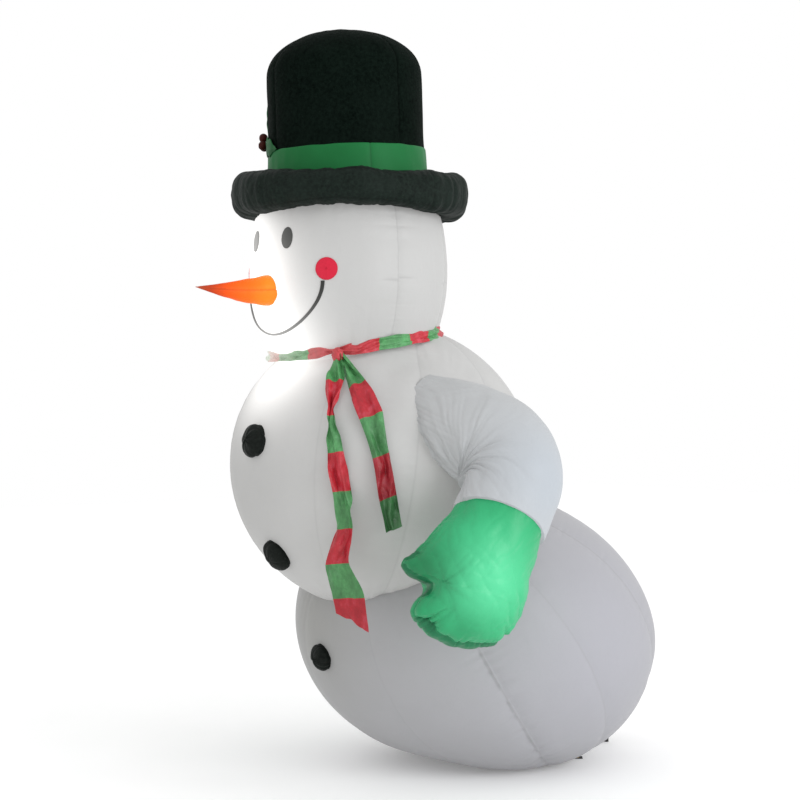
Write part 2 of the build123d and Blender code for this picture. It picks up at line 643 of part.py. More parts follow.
def tether_patch(side):
    """Reinforced patch with a webbing loop that carries the ring."""
    frame = tether_frame(side)
    base = frame.location * Box(60, 60, 200)
    skin = (TORSO.solid(SEAM_GAP + FABRIC) - TORSO.solid(SEAM_GAP)) & base
    loop = Location((0, 0, LOOP_OUT)) * Rotation(0, 90, 0) * Cylinder(6, 9)
    loop -= Location((0, 0, LOOP_OUT)) * Rotation(0, 90, 0) * Cylinder(4.2, 30)
    loop += Location((0, 0, 1.2)) * Box(24, 12, 2.4)
    return skin + (frame.location * loop - TORSO.solid(SEAM_GAP))


def tether_ring(side):
    """Round steel ring in the webbing loop, lying against the fabric below it."""
    frame = tether_frame(side)
    centre = frame.from_local_coords((0, -RING_RADIUS, LOOP_OUT))
    return Plane(origin=centre, z_dir=frame.z_dir).location * Torus(RING_RADIUS, RING_WIRE)


def stake_tab(side):
    """Webbing tab sewn into the bottom seam, lying on the ground."""
    out = heading(side * STAKE_ANGLE)
    plane = Plane(origin=out * 190, x_dir=out, z_dir=(0, 0, 1))
    tab = plane.location * Box(STAKE_REACH + 22 - 190, 38, 1.6, align=(Align.MIN, Align.CENTER,
                                                                     Align.MIN))
    tab = Location((0, 0, 1)) * tab
    tab -= LOWER.solid(SEAM_GAP)
    centre = out * STAKE_REACH
    return tab - Location(centre) * Cylinder(GROMMET_RADIUS + 1.6, 20)


def stake_grommet(side):
    """Brass eyelet for a ground stake."""
    centre = heading(side * STAKE_ANGLE) * STAKE_REACH
    up = (Align.CENTER, Align.CENTER, Align.MIN)
    eyelet = Cylinder(GROMMET_FLANGE, 0.9, align=up)
    eyelet += Cylinder(GROMMET_RADIUS + 1.5, 3.6, align=up)
    eyelet += Location((0, 0, 2.7)) * Cylinder(GROMMET_FLANGE, 0.9, align=up)
    eyelet -= Cylinder(GROMMET_RADIUS, 20)
    return Location(centre) * eyelet


# ---- lamps inside -------------------------------------------------------------------
LAMPS = {"head": (0, -640, 1640), "torso": (40, -560, 1210), "base": (0, -160, 520)}


def lamp_holder(place):
    holder = Cylinder(16, 46, align=(Align.CENTER, Align.CENTER, Align.MIN))
    holder -= Cylinder(12.4, 34, align=(Align.CENTER, Align.CENTER, Align.MIN))
    return Location(LAMPS[place]) * holder


def lamp_bulb(place):
    """Small screw-in bulb that hangs below its holder."""
    neck = Cylinder(12, 53, align=(Align.CENTER, Align.CENTER, Align.MIN))
    return Location(LAMPS[place]) * (ball_at((0, 0, -24), 17) + Location((0, 0, -20)) * neck)


def lamp_tab(place):
    """Ribbon that hangs a lamp holder from the fabric above it."""
    x, y, z = LAMPS[place]
    top = {"head": HEAD_TOP_Z - FABRIC, "torso": TORSO.hit((x, y, z), (0, 0, 1)).Z - FABRIC,
           "base": TORSO.hit((x, y, 1025), (0, 0, -1)).Z}[place]
    ribbon = Location((x, y, z + 46 + SEAM_GAP)) * Box(
        14, 1.2, top - z - 46 - 2.5, align=(Align.CENTER, Align.CENTER, Align.MIN))
    return ribbon


# ---- write every piece --------------------------------------------------------------
PIECES = {
    "lower_body": lower_body(), "floor_panel": floor_panel(), "torso": torso(), "head": head(),
    "hat_brim": hat_brim(), "hat_crown": hat_crown(), "hat_band": hat_band(),
    "holly_berries": holly_berries(), "nose": nose(), "mouth": mouth(),
    "eye_left": eye(1), "eye_right": eye(-1), "cheek_left": cheek(1), "cheek_right": cheek(-1),
    "arm_left": arm(1), "arm_right": arm(-1), "mitten_left": mitten(1), "mitten_right": mitten(-1),
    "scarf_wrap": scarf_wrap(), "scarf_knot": scarf_knot(),
    "scarf_tail_long": scarf_tail(LONG_TAIL_ANGLE, LONG_TAIL_END_Z, -1),
    "scarf_tail_short": scarf_tail(SHORT_TAIL_ANGLE, SHORT_TAIL_END_Z, 1),
    "blower_housing_rear": housing_rear(), "blower_housing_front": housing_front(),
    "inlet_grille": inlet_grille(), "housing_screws": housing_screws(), "motor": motor(),
    "impeller": impeller(), "impeller_shaft": impeller_shaft(), "blower_feet": blower_feet(),
    "cable_gland": cable_gland(), "blower_sleeve": blower_sleeve(), "sleeve_strap": sleeve_strap(),
    "zipper_tape": zipper_tape(), "zipper_coil": zipper_coil(), "zipper_slider": zipper_slider(),
    "zipper_pull": zipper_pull(),
    "tether_patch_left": tether_patch(1), "tether_patch_right": tether_patch(-1),
    "tether_ring_left": tether_ring(1), "tether_ring_right": tether_ring(-1),
    "stake_tab_left": stake_tab(1), "stake_tab_right": stake_tab(-1),
    "stake_grommet_left": stake_grommet(1), "stake_grommet_right": stake_grommet(-1),
}
for layer, (name, turn) in enumerate(LEAF_TURNS.items()):
    PIECES[name] = holly_leaf(turn, layer)
for name in BUTTON_HEIGHTS:
    PIECES[name] = button(name)
for place in LAMPS:
    PIECES["lamp_holder_" + place] = lamp_holder(place)
    PIECES["lamp_bulb_" + place] = lamp_bulb(place)
    PIECES["lamp_tab_" + place] = lamp_tab(place)

os.makedirs("parts", exist_ok=True)
for name, solid in PIECES.items():
    export_step(solid, f"parts/{name}.step")
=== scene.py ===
from math import cos, pi, radians, sin

import bmesh
import bpy
import numpy as np
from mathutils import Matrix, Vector


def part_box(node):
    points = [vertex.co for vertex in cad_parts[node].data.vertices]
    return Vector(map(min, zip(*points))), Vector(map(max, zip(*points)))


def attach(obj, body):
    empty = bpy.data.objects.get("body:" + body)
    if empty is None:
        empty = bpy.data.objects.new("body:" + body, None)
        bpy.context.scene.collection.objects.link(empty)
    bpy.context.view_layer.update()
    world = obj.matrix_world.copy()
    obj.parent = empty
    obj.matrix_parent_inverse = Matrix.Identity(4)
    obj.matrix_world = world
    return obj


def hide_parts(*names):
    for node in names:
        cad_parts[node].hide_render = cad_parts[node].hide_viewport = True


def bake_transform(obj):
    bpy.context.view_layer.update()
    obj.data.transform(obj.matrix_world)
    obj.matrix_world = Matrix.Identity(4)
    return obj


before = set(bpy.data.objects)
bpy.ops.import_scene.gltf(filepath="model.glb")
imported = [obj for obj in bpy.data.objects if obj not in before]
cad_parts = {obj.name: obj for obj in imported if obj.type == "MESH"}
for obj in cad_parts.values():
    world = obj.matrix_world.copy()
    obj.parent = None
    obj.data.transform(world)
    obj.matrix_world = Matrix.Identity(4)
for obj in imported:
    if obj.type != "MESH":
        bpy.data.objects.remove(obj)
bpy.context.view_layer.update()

# Looks of the inflatable yard snowman. Metres, the CAD frame: it faces -Y, its left is +X.

MM = 0.001
LEFT, UP = np.array((1.0, 0, 0)), np.array((0, 0, 1.0))


# ---- numbers and noise ----
def unit(v):
    v = np.asarray(v, float)
    return v / np.linalg.norm(v, axis=-1, keepdims=True)


def hashed(i, j, seed):
    h = np.sin(i * 127.1 + j * 311.7 + seed * 74.7) * 43758.5453
    return h - np.floor(h)


def noise(x, y=0.0, seed=0, wrap=0):
    """Smooth noise from -1 to 1. It repeats in x after wrap cells."""
    x, y = np.broadcast_arrays(np.asarray(x, float), np.asarray(y, float))
    i, j = np.floor(x), np.floor(y)
    fx, fy = x - i, y - j
    fx, fy = fx * fx * (3 - 2 * fx), fy * fy * (3 - 2 * fy)
    i2 = i + 1
    if wrap:
        i, i2 = i % wrap, i2 % wrap
    low = hashed(i, j, seed) * (1 - fx) + hashed(i2, j, seed) * fx
    high = hashed(i, j + 1, seed) * (1 - fx) + hashed(i2, j + 1, seed) * fx
    return 2 * (low * (1 - fy) + high * fy) - 1


def folds(x, y=0.0, seed=0, wrap=0):
    """Sharp valleys between rounded ridges, from -1 in a valley to 0."""
    return np.abs(noise(x, y, seed, wrap)) ** 0.7 - 1


def ring_noise(angle, count, y, seed, shift=0):
    """Noise with so many cells round a ring, joined up."""
    return noise(angle / (2 * pi) * count + shift, y, seed, count)


def ring_folds(angle, count, y, seed, shift=0):
    return folds(angle / (2 * pi) * count + shift, y, seed, count)


def step(x, low, high):
    t = np.clip((x - low) / (high - low), 0, 1)
    return t * t * (3 - 2 * t)


def bell(x, width, power=2):
    """1 at 0, and almost nothing beyond two widths."""
    return np.exp(-(x / width) ** power)


def fade(x, reach):
    """1 up to 0, then falling off."""
    return np.exp(-np.clip(x, 0, None) / reach)


def distances(line):
    """How far along a line each of its points is."""
    return np.concatenate([[0], np.cumsum(np.linalg.norm(np.diff(line, axis=0), axis=1))])


def full_turn(count):
    """Angles round a full turn, as a row."""
    return np.linspace(0, 2 * pi, count, endpoint=False)[None]


# ---- meshes ----
def in_scene(name, data):
    thing = bpy.data.objects.new(name, data)
    bpy.context.scene.collection.objects.link(thing)
    return thing


def store(mesh, key, values):
    """Keep a number for each point, for the materials to read."""
    layer = mesh.attributes.new(key, "FLOAT", "POINT")
    layer.data.foreach_set("value", np.asarray(values, np.float32).ravel())


def mesh_piece(name, points, faces, **attributes):
    mesh = bpy.data.meshes.new(name)
    mesh.from_pydata(np.asarray(points).tolist(), [], faces)
    for key, values in attributes.items():
        store(mesh, key, values)
    mesh.shade_smooth()
    mesh.update()
    return in_scene(name, mesh)


def face_outward(piece, merge=None):
    """Turn every face outward, after joining points that are closer than merge."""
    b = bmesh.new()
    b.from_mesh(piece.data)
    if merge:
        bmesh.ops.remove_doubles(b, verts=b.verts, dist=merge)
    bmesh.ops.recalc_face_normals(b, faces=b.faces)
    b.to_mesh(piece.data)
    b.free()


def thicken(piece, depth, offset=-1):
    thick = piece.modifiers.new("thick", "SOLIDIFY")
    thick.thickness, thick.offset = depth, offset


def lay_uv(piece, places):
    """Give each point its place on the flat cloth."""
    loops = np.zeros(len(piece.data.loops), np.int64)
    piece.data.loops.foreach_get("vertex_index", loops)
    piece.data.uv_layers.new(name="cloth").data.foreach_set("uv", places[loops].ravel())


def lump(centre, pole, side, top, high, wide, deep, v, u):
    """A rounded lump's points: v runs down from its pole, and u round it."""
    parts = ((pole, high * np.cos(v)), (side, wide * np.sin(v) * np.cos(u)),
             (top, deep * np.sin(v) * np.sin(u)))
    return centre + sum(axis * reach[..., None] for axis, reach in parts)


def grid_faces(rows, columns, around=True):
    """Quads of a grid of points, rows by columns, joined up along each row if around."""
    i, j = np.meshgrid(np.arange(rows - 1), np.arange(columns if around else columns - 1),
                       indexing="ij")
    k = (j + 1) % columns
    quads = np.stack([i * columns + j, i * columns + k, (i + 1) * columns + k,
                      (i + 1) * columns + j], -1)
    return quads.reshape(-1, 4).tolist()


def cap_faces(row, columns, hub):
    """Triangles from a grid's first or last row to a point that closes it."""
    a = row * columns + np.arange(columns)
    b = row * columns + (np.arange(columns) + 1) % columns
    hub = np.full(columns, hub)
    return np.stack((a, b, hub) if row else (a, hub, b), -1).tolist()


def skin(name, grid, start_closed=False, end_closed=False, inside_out=False, **attributes):
    """A tube or bag from a grid of points, rows by columns by 3. An end may close to a point."""
    rows, columns = grid.shape[:2]
    points = list(grid.reshape(-1, 3))
    values = {k: list(np.asarray(v, float).ravel()) for k, v in attributes.items()}
    faces = grid_faces(rows, columns)
    for closed, row in ((start_closed, 0), (end_closed, rows - 1)):
        if closed:
            faces += cap_faces(row, columns, len(points))
            points.append(grid[row].mean(0))
            for k, v in attributes.items():
                values[k].append(float(np.asarray(v)[row].mean()))
    if inside_out:
        faces = [tuple(reversed(f)) for f in faces]
    return mesh_piece(name, points, faces, **values)


# ---- the shapes that the pieces lie on ----
class Ball:
    """Round body of revolution about an axis that leans backward, as in the CAD."""

    def __init__(self, centre, radial, polar, lean, flat=0.0, under=None):
        self.centre, self.radial, self.polar = np.array(centre), radial, polar
        self.flat, self.under = flat, under or polar
        self.axis = np.array((0, sin(radians(lean)), cos(radians(lean))))

    def reach(self, d, grow=0.0):
        """Distance from the centre to the surface in unit directions d."""
        up = d @ self.axis
        out = np.sqrt(np.maximum(1 - up * up, 1e-12))
        a, b = self.radial + grow, self.polar + grow
        high = 1 / np.sqrt((out / a) ** 2 + (up / b) ** 2)
        c, e, f = self.radial + grow - self.flat, self.under + grow, self.flat
        qa = (out / c) ** 2 + (up / e) ** 2
        qb, qc = -out * f / c ** 2, (f / c) ** 2 - 1
        low = (-qb + np.sqrt(np.maximum(qb * qb - qa * qc, 0))) / qa
        low = np.where(low * out < f, -e / np.minimum(up, -1e-9), low)
        return np.where(up >= 0, high, low)

    def at(self, d, lift=0.0):
        d = unit(d)
        return self.centre + d * (self.reach(d) + lift)[..., None]

    def depth(self, p):
        """How far points lie outside the surface, measured along lines from the centre."""
        gap = p - self.centre
        far = np.linalg.norm(gap, axis=-1)
        return far - self.reach(gap / np.maximum(far, 1e-9)[..., None])


def middle(node):
    low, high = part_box(node)
    return np.array((low + high) / 2)


def size(node):
    low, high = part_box(node)
    return np.array(high - low)


LOWER = Ball((0, -0.065, 0.460), size("lower_body")[0] / 2, 0.480, 15.5, 0.115, 0.468)
TORSO = Ball((0, -0.461, 1.025), size("torso")[0] / 2, 0.466, 14, 0.0, 0.488)
HEAD_Y = middle("head")[1]
HEAD_WIDEST = 1.640
BRIM = middle("hat_brim")


def head_radius(z, grow=0.0):
    """Radius of the head at a height."""
    rise = np.where(z > HEAD_WIDEST, 0.465, 0.358) + grow
    t = np.clip((z - HEAD_WIDEST) / rise, -0.999, 0.999)
    return 0.100 + (0.223 + grow) * np.sqrt(1 - t * t)


def heading(angle):
    """Level direction at an angle in radians from the front, towards the snowman's left."""
    return np.stack([np.sin(angle), -np.cos(angle), np.zeros_like(angle)], -1)


def upright(angle, radius, z):
    """Points round the upright line through the head."""
    p = np.array((0, HEAD_Y, 0)) + heading(angle) * radius[..., None]
    p[..., 2] = z
    return p


# ---- materials ----
# where the light of the lamps inside shows through, as seen on the skin: place, reach, strength
GLOWS = [((-0.04, -0.93, 1.600), 0.145, 0.95), ((-0.02, -0.87, 1.330), 0.165, 0.80),
         ((-0.12, -0.88, 1.740), 0.140, 0.85), ((0.05, -0.88, 1.450), 0.120, 0.35)]

GLOW_COLOUR = (1.0, 0.985, 0.965)


class Paint:
    """A node material under construction."""

    def __init__(self, name):
        self.material = bpy.data.materials.new(name)
        self.material.use_nodes = True
        self.tree = self.material.node_tree
        self.shader = self.tree.nodes["Principled BSDF"]
        self.place = self.node("ShaderNodeTexCoord").outputs["Object"]

    def node(self, kind, **settings):
        n = self.tree.nodes.new(kind)
        for key, value in settings.items():
            setattr(n, key, value)
        return n

    def link(self, a, b):
        self.tree.links.new(a, b)

    def put(self, socket, value):
        if isinstance(value, bpy.types.NodeSocket):
            self.link(value, socket)
        else:
            socket.default_value = value

    def math(self, operation, a, b=0.0, clamp=False):
        n = self.node("ShaderNodeMath", operation=operation, use_clamp=clamp)
        self.put(n.inputs[0], a)
        self.put(n.inputs[1], b)
        return n.outputs[0]

    def times(self, a, b, clamp=False):
        return self.math("MULTIPLY", a, b, clamp)

    def scaled(self, stretch):
        m = self.node("ShaderNodeMapping")
        m.inputs["Scale"].default_value = stretch
        self.link(self.place, m.inputs["Vector"])
        return m.outputs[0]

    def noise(self, scale, detail=3.0, stretch=(1, 1, 1), rough=0.5):
        n = self.node("ShaderNodeTexNoise")
        n.inputs["Scale"].default_value = scale
        n.inputs["Detail"].default_value = detail
        n.inputs["Roughness"].default_value = rough
        self.link(self.scaled(stretch), n.inputs["Vector"])
        return n.outputs["Fac"]

    def ramp(self, factor, *stops):
        n = self.node("ShaderNodeValToRGB")
        self.put(n.inputs[0], factor)
        marks = n.color_ramp.elements
        while len(marks) < len(stops):
            marks.new(0.5)
        for mark, (where, colour) in zip(marks, stops):
            mark.position = where
            mark.color = (*colour, 1)
        return n.outputs[0]

    def mix(self, factor, a, b, mode="MIX"):
        n = self.node("ShaderNodeMix", data_type="RGBA", blend_type=mode)
        self.put(n.inputs[0], factor)
        for socket, value in ((n.inputs[6], a), (n.inputs[7], b)):
            if isinstance(value, tuple):
                value = (*value, 1)
            self.put(socket, value)
        return n.outputs[2]

    def attribute(self, name):
        return self.node("ShaderNodeAttribute", attribute_name=name).outputs["Fac"]

    def split(self, vector):
        """The x, y and z sockets of a vector."""
        n = self.node("ShaderNodeSeparateXYZ")
        self.link(vector, n.inputs[0])
        return n.outputs

    def spread(self, factor, low, high, start=0.0, end=1.0):
        """A factor from start to end, turned into a number from low to high."""
        n = self.node("ShaderNodeMapRange")
        self.link(factor, n.inputs[0])
        for socket, value in zip(list(n.inputs)[1:5], (start, end, low, high)):
            socket.default_value = value
        return n.outputs[0]

    def near(self, place, reach):
        """1 at a place, falling off round it like a bell."""
        n = self.node("ShaderNodeVectorMath", operation="DISTANCE")
        self.link(self.place, n.inputs[0])
        n.inputs[1].default_value = place
        square = self.math("POWER", self.math("DIVIDE", n.outputs["Value"], reach), 2.0)
        return self.math("EXPONENT", self.times(square, -1.0))

    def weave(self, pitch=0.0012):
        """Two crossed sets of threads."""
        out = []
        for stretch in ((1, 0, 0.4), (0.3, 1, 1)):
            w = self.node("ShaderNodeTexWave", wave_profile="SIN", bands_direction="DIAGONAL")
            w.inputs["Scale"].default_value = 0.16 / pitch
            w.inputs["Distortion"].default_value = 0.4
            self.link(self.scaled(stretch), w.inputs["Vector"])
            out.append(w.outputs["Fac"])
        return self.times(*out)

    def bump(self, *layers):
        """Layers of (height, strength, distance in metres)."""
        normal = None
        for high, strength, distance in layers:
            n = self.node("ShaderNodeBump")
            n.inputs["Strength"].default_value = strength
            n.inputs["Distance"].default_value = distance
            self.link(high, n.inputs["Height"])
            if normal:
                self.link(normal, n.inputs["Normal"])
            normal = n.outputs[0]
        self.link(normal, self.shader.inputs["Normal"])

    def finish(self, colour, rough=0.6, **sockets):
        self.put(self.shader.inputs["Base Color"], colour)
        self.put(self.shader.inputs["Roughness"], rough)
        for key, value in sockets.items():
            self.put(self.shader.inputs[key.replace("_", " ")], value)
        return self.material


def inflated_cloth(name, light, dark, glow=1.0, seam_and_crease_shade_tone=0.80, crumple=0.5, rough=(0.42, 0.58),
                   light_and_shade_patches=(), lit=0.0, gloss=0.2):
    """Thin coated polyester: the lamps' light showing through, darker seams, painted shade in
    creases.
    """
    p = Paint(name)
    mottle = p.ramp(p.noise(2.4, 4), (0.3, dark), (0.7, light))
    # Painted light and shade: each patch mixes its colour in round a place.
    for place, reach, colour, share in light_and_shade_patches:
        mottle = p.mix(p.times(p.near(place, reach), share), mottle, colour)
    fine = p.noise(160, 2, rough=0.7)
    colour = p.mix(0.10, mottle, p.ramp(fine, (0.3, dark), (0.7, light)), "MULTIPLY")
    # Darker along seams. The same seam attribute also carries painted shade in the arms' and
    # mittens' fold valleys and on the mitten's underside band.
    seam = p.attribute("seam")
    toned = tuple(c * seam_and_crease_shade_tone for c in light)
    colour = p.mix(p.times(seam, 0.75, clamp=True), colour, toned)
    p.bump((p.noise(14, 4, rough=0.55), crumple, 0.004), (p.noise(60, 3), crumple * 0.5, 0.0012),
           (p.weave(), 0.25, 0.0002))
    if glow or lit:
        total = lit
        for place, reach, strength in GLOWS:
            part = p.times(p.near(place, reach), strength * glow)
            total = p.math("ADD", part, total)
        dimmed = p.times(total, p.math("SUBTRACT", 1.0, p.times(seam, 0.25)))
        p.put(p.shader.inputs["Emission Strength"], dimmed)
        p.shader.inputs["Emission Color"].default_value = (*GLOW_COLOUR, 1)
    return p.finish(colour, p.spread(p.noise(9, 3), *rough), Specular_IOR_Level=gloss)


def striped(name, red=(0.50, 0.022, 0.036), green=(0.085, 0.30, 0.105), light_and_shade_patches=()):
    """Thin taffeta in green and red stripes, one for each whole step of the first UV number."""
    p = Paint(name)
    uv = p.split(p.node("ShaderNodeUVMap", uv_map="cloth").outputs[0])
    wobble = p.times(p.math("SUBTRACT", p.noise(25, 2), 0.5), 0.05)
    turn = p.math("FRACT", p.math("DIVIDE", p.math("ADD", uv[0], wobble), 2.0))
    band = p.math("GREATER_THAN", turn, 0.5)
    worn = p.noise(38, 6, (1, 1, 0.6), 0.7)
    reds = p.ramp(worn, (0.25, tuple(c * 0.62 for c in red)), (0.55, red),
                  (0.85, (red[0] * 1.25, red[1] * 4.5, red[2] * 4.2)))
    greens = p.ramp(worn, (0.25, tuple(c * 0.55 for c in green)), (0.55, green),
                    (0.85, tuple(min(1, c * 1.7) for c in green)))
    colour = p.mix(band, reds, greens)
    # Painted light and shade: the lamps' glow and shade, each mixed in round a place.
    for place, reach, patch_colour, share, how in light_and_shade_patches:
        colour = p.mix(p.times(p.near(place, reach), share), colour, patch_colour, how)
    p.bump((p.noise(30, 5, rough=0.65), 0.8, 0.004), (p.noise(120, 3), 0.5, 0.001),
           (p.weave(0.0008), 0.3, 0.0002))
    return p.finish(colour, 0.40, Specular_IOR_Level=0.35)


def dark_cloth(name, light, dark, rough=0.7, wear=(0.012, 0.020, 0.016), gloss=0.04):
    """Black napped polyester: slightly lighter where it is creased and rubbed."""
    p = Paint(name)
    body = p.ramp(p.noise(90, 6, rough=0.75), (0.35, dark), (0.65, light))
    patches = p.ramp(p.noise(7, 4), (0.42, (0, 0, 0)), (0.75, (1, 1, 1)))
    worn = p.mix(p.times(patches, 0.35), body, wear)
    crease = p.attribute("seam")
    colour = p.mix(p.times(crease, 0.6, clamp=True), worn, tuple(c * 0.3 for c in dark))
    p.bump((p.noise(32, 5, rough=0.6), 0.8, 0.005), (p.noise(210, 3, rough=0.8), 0.7, 0.0012))
    return p.finish(colour, rough, Specular_IOR_Level=gloss)


def hard(name, light, dark, rough=0.45, metal=0.0, grain=60, bump=0.25, stretch=(1, 1, 1)):
    """Moulded plastic, rubber, paint or metal, with a fine grain and slight dirt."""
    p = Paint(name)
    colour = p.ramp(p.noise(grain, 5, stretch, 0.6), (0.3, dark), (0.7, light))
    roughness = p.spread(p.noise(grain * 0.4, 3), rough * 0.8, min(1, rough * 1.2))
    p.bump((p.noise(grain * 6, 3, stretch), bump, 0.0003))
    return p.finish(colour, roughness, Metallic=metal)


# The torso's cloth gets painted shade low on its right front, the side turned from the fill light.
WHITE = inflated_cloth("white_polyester", (0.43, 0.43, 0.425), (0.39, 0.39, 0.385), lit=0.10,
                       light_and_shade_patches=[((-0.27, -0.80, 0.96), 0.30, (0.30, 0.30, 0.295), 0.85)])
# The base's cloth is a darker copy of the white cloth, painted shade, with a painted cool cast of
# the light on its left side and painted shade on its front under the torso.
BASE_WHITE = inflated_cloth("base_polyester", (0.36, 0.36, 0.375), (0.32, 0.32, 0.33), lit=0.055,
                            glow=0.3,
                            light_and_shade_patches=[((0.62, 0.0, 0.45), 0.50, (0.34, 0.34, 0.375), 0.9),
                                   ((-0.13, -0.67, 0.52), 0.28, (0.25, 0.25, 0.235), 0.85)])
# The arms' cloth is a slightly darker, cooler copy of the white cloth, painted shade, with a
# painted cool cast of the light on the left arm's outer side.
ARM_WHITE = inflated_cloth("arm_polyester", (0.40, 0.41, 0.42), (0.37, 0.38, 0.385), glow=0.3,
                           lit=0.085, light_and_shade_patches=[((0.84, -0.45, 1.00), 0.22, (0.355, 0.39, 0.43), 0.9)])
# Painted light and shade on the mitten: a painted highlight on its outer middle, painted shade on
# the thumb and at its lower end.
MITTEN = inflated_cloth("mitten_polyester", (0.028, 0.400, 0.165), (0.014, 0.29, 0.105), glow=0,
                        seam_and_crease_shade_tone=0.25, crumple=0.9, rough=(0.30, 0.5), gloss=0.25,
                        light_and_shade_patches=[((0.86, -0.70, 0.72), 0.15, (0.11, 0.66, 0.34), 0.9),
                               ((0.71, -0.89, 0.77), 0.12, (0.006, 0.085, 0.024), 0.9),
                               ((0.82, -0.78, 0.53), 0.09, (0.012, 0.20, 0.075), 0.8)])
SLEEVE_WHITE = inflated_cloth("sleeve_polyester", (0.55, 0.55, 0.57), (0.48, 0.48, 0.50), glow=0)
BAND = inflated_cloth("band_polyester", (0.016, 0.180, 0.052), (0.010, 0.130, 0.034), glow=0,
                      seam_and_crease_shade_tone=0.4, crumple=0.4, gloss=0.1)
LEAF = inflated_cloth("holly_cloth", (0.010, 0.12, 0.03), (0.006, 0.07, 0.02), glow=0, gloss=0.1)
BERRY = inflated_cloth("berry_cloth", (0.070, 0.012, 0.008), (0.035, 0.006, 0.005), glow=0,
                       gloss=0.1)
CHEEK = inflated_cloth("cheek_cloth", (0.62, 0.022, 0.055), (0.56, 0.018, 0.045), glow=0.1,
                       gloss=0.1)
FACE_BLACK = inflated_cloth("face_black_cloth", (0.022, 0.024, 0.022), (0.014, 0.016, 0.014),
                            glow=0.42, gloss=0.1)
HAT_BLACK = dark_cloth("hat_cloth", (0.0040, 0.0085, 0.0060), (0.0006, 0.0018, 0.0012),
                       wear=(0.0065, 0.012, 0.009), gloss=0.015)
BRIM_BLACK = dark_cloth("brim_cloth", (0.011, 0.019, 0.0145), (0.0022, 0.0045, 0.0034), 0.6,
                        wear=(0.014, 0.022, 0.018), gloss=0.08)
BUTTON_BLACK = dark_cloth("button_cloth", (0.008, 0.0105, 0.0085), (0.0018, 0.0030, 0.0022), 0.5,
                          wear=(0.008, 0.012, 0.010), gloss=0.10)


def foot(node):
    """The middle of a node's lower face."""
    return tuple(middle(node) - 0.5 * UP * size(node))


# The wrap is painted paler near the front of the neck, where the lamps' glow falls on it; the two
# tails get painted shade towards their lower ends.
NECK_FAR = tuple(middle("scarf_wrap") - 0.27 * np.array((0.61, 0.79, 0)))
LONG_SHADE = (foot("scarf_tail_long"), 0.50, (0.72, 0.66, 0.66), 0.8, "MULTIPLY")
SHORT_SHADE = (foot("scarf_tail_short"), 0.33, (0.35, 0.32, 0.32), 0.95, "MULTIPLY")
SCARF = {"wrap": striped("wrap_cloth", light_and_shade_patches=[(NECK_FAR, 0.22, (0.90, 0.93, 0.84), 0.85, "MIX")]),
         "long": striped("long_cloth", light_and_shade_patches=[LONG_SHADE]),
         "short": striped("short_cloth", light_and_shade_patches=[SHORT_SHADE])}
STEEL = hard("plated_steel", (0.62, 0.62, 0.60), (0.42, 0.42, 0.41), 0.32, 1.0, 90, 0.15)
BRASS = hard("plated_brass", (0.68, 0.50, 0.22), (0.45, 0.32, 0.13), 0.35, 1.0, 90, 0.15)
BLACK_PLASTIC = hard("moulded_plastic", (0.030, 0.030, 0.032), (0.018, 0.018, 0.020), 0.5)
GREY_PLASTIC = hard("fan_plastic", (0.42, 0.43, 0.45), (0.34, 0.35, 0.37), 0.45)
MOTOR_PAINT = hard("motor_paint", (0.11, 0.11, 0.12), (0.07, 0.07, 0.075), 0.4, 0.3)
RUBBER = hard("foot_rubber", (0.024, 0.024, 0.024), (0.012, 0.012, 0.012), 0.8, 0, 120, 0.5)
COIL = hard("zip_coil_plastic", (0.78, 0.78, 0.80), (0.62, 0.62, 0.64), 0.4, 0, 220, 0.9)
WEBBING = hard("woven_webbing", (0.060, 0.060, 0.064), (0.030, 0.030, 0.032), 0.85, 0, 300, 0.9,
               (1, 0.25, 1))
TAPE = hard("zip_tape_cloth", (0.66, 0.66, 0.67), (0.55, 0.55, 0.56), 0.8, 0, 320, 0.7)
RIBBON = hard("lamp_ribbon", (0.60, 0.60, 0.60), (0.45, 0.45, 0.45), 0.8, 0, 300, 0.7)


def bulb_glass():
    p = Paint("bulb_glass")
    colour = p.ramp(p.noise(30, 2), (0.3, (0.9, 0.88, 0.84)), (0.7, (1, 0.98, 0.94)))
    return p.finish(colour, 0.25, Transmission_Weight=0.6, Emission_Color=(1, 0.95, 0.86, 1),
                    Emission_Strength=1.5)


def carrot():
    """Orange that turns dark red towards the tip, lit near the face."""
    p = Paint("carrot_cloth")
    low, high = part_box("nose")
    share = p.spread(p.split(p.place)[1], 0, 1, high.y - 0.03, low.y)
    along = p.math("ADD", share, p.times(p.noise(18, 4), 0.12))
    # Bright orange at the root and dark red towards the tip: partly the cloth's own colour, partly
    # painted shade away from the lamps' glow at the face.
    colour = p.ramp(along, (0.05, (0.93, 0.19, 0.010)), (0.30, (0.92, 0.115, 0.006)),
                    (0.60, (0.82, 0.075, 0.006)), (0.85, (0.46, 0.040, 0.012)),
                    (1.0, (0.38, 0.06, 0.025)))
    seam = p.attribute("seam")
    colour = p.mix(p.times(seam, 0.5, clamp=True), colour, (0.35, 0.05, 0.01))
    near = p.times(p.near((0, high.y - 0.03, middle("nose")[2]), 0.13), 0.22)
    p.bump((p.noise(26, 4), 0.5, 0.003), (p.noise(110, 3), 0.4, 0.0008), (p.weave(), 0.2, 0.0002))
    return p.finish(colour, 0.45, Specular_IOR_Level=0.1, Emission_Strength=near,
                    Emission_Color=(1.0, 0.35, 0.06, 1))


def paint(piece, material):
    piece.data.materials.clear()
    piece.data.materials.append(material)
    return piece


def placed(piece, material, body, slot, *nodes):
    """Give a finished piece its material, attach it to its body if that is one name (else bake its
    transform), and hide the CAD nodes it stands for; slot is not used.
    """
    paint(piece, material)
    if isinstance(body, str):
        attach(piece, body)
    else:
        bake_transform(piece)
    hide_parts(*nodes)
    return piece


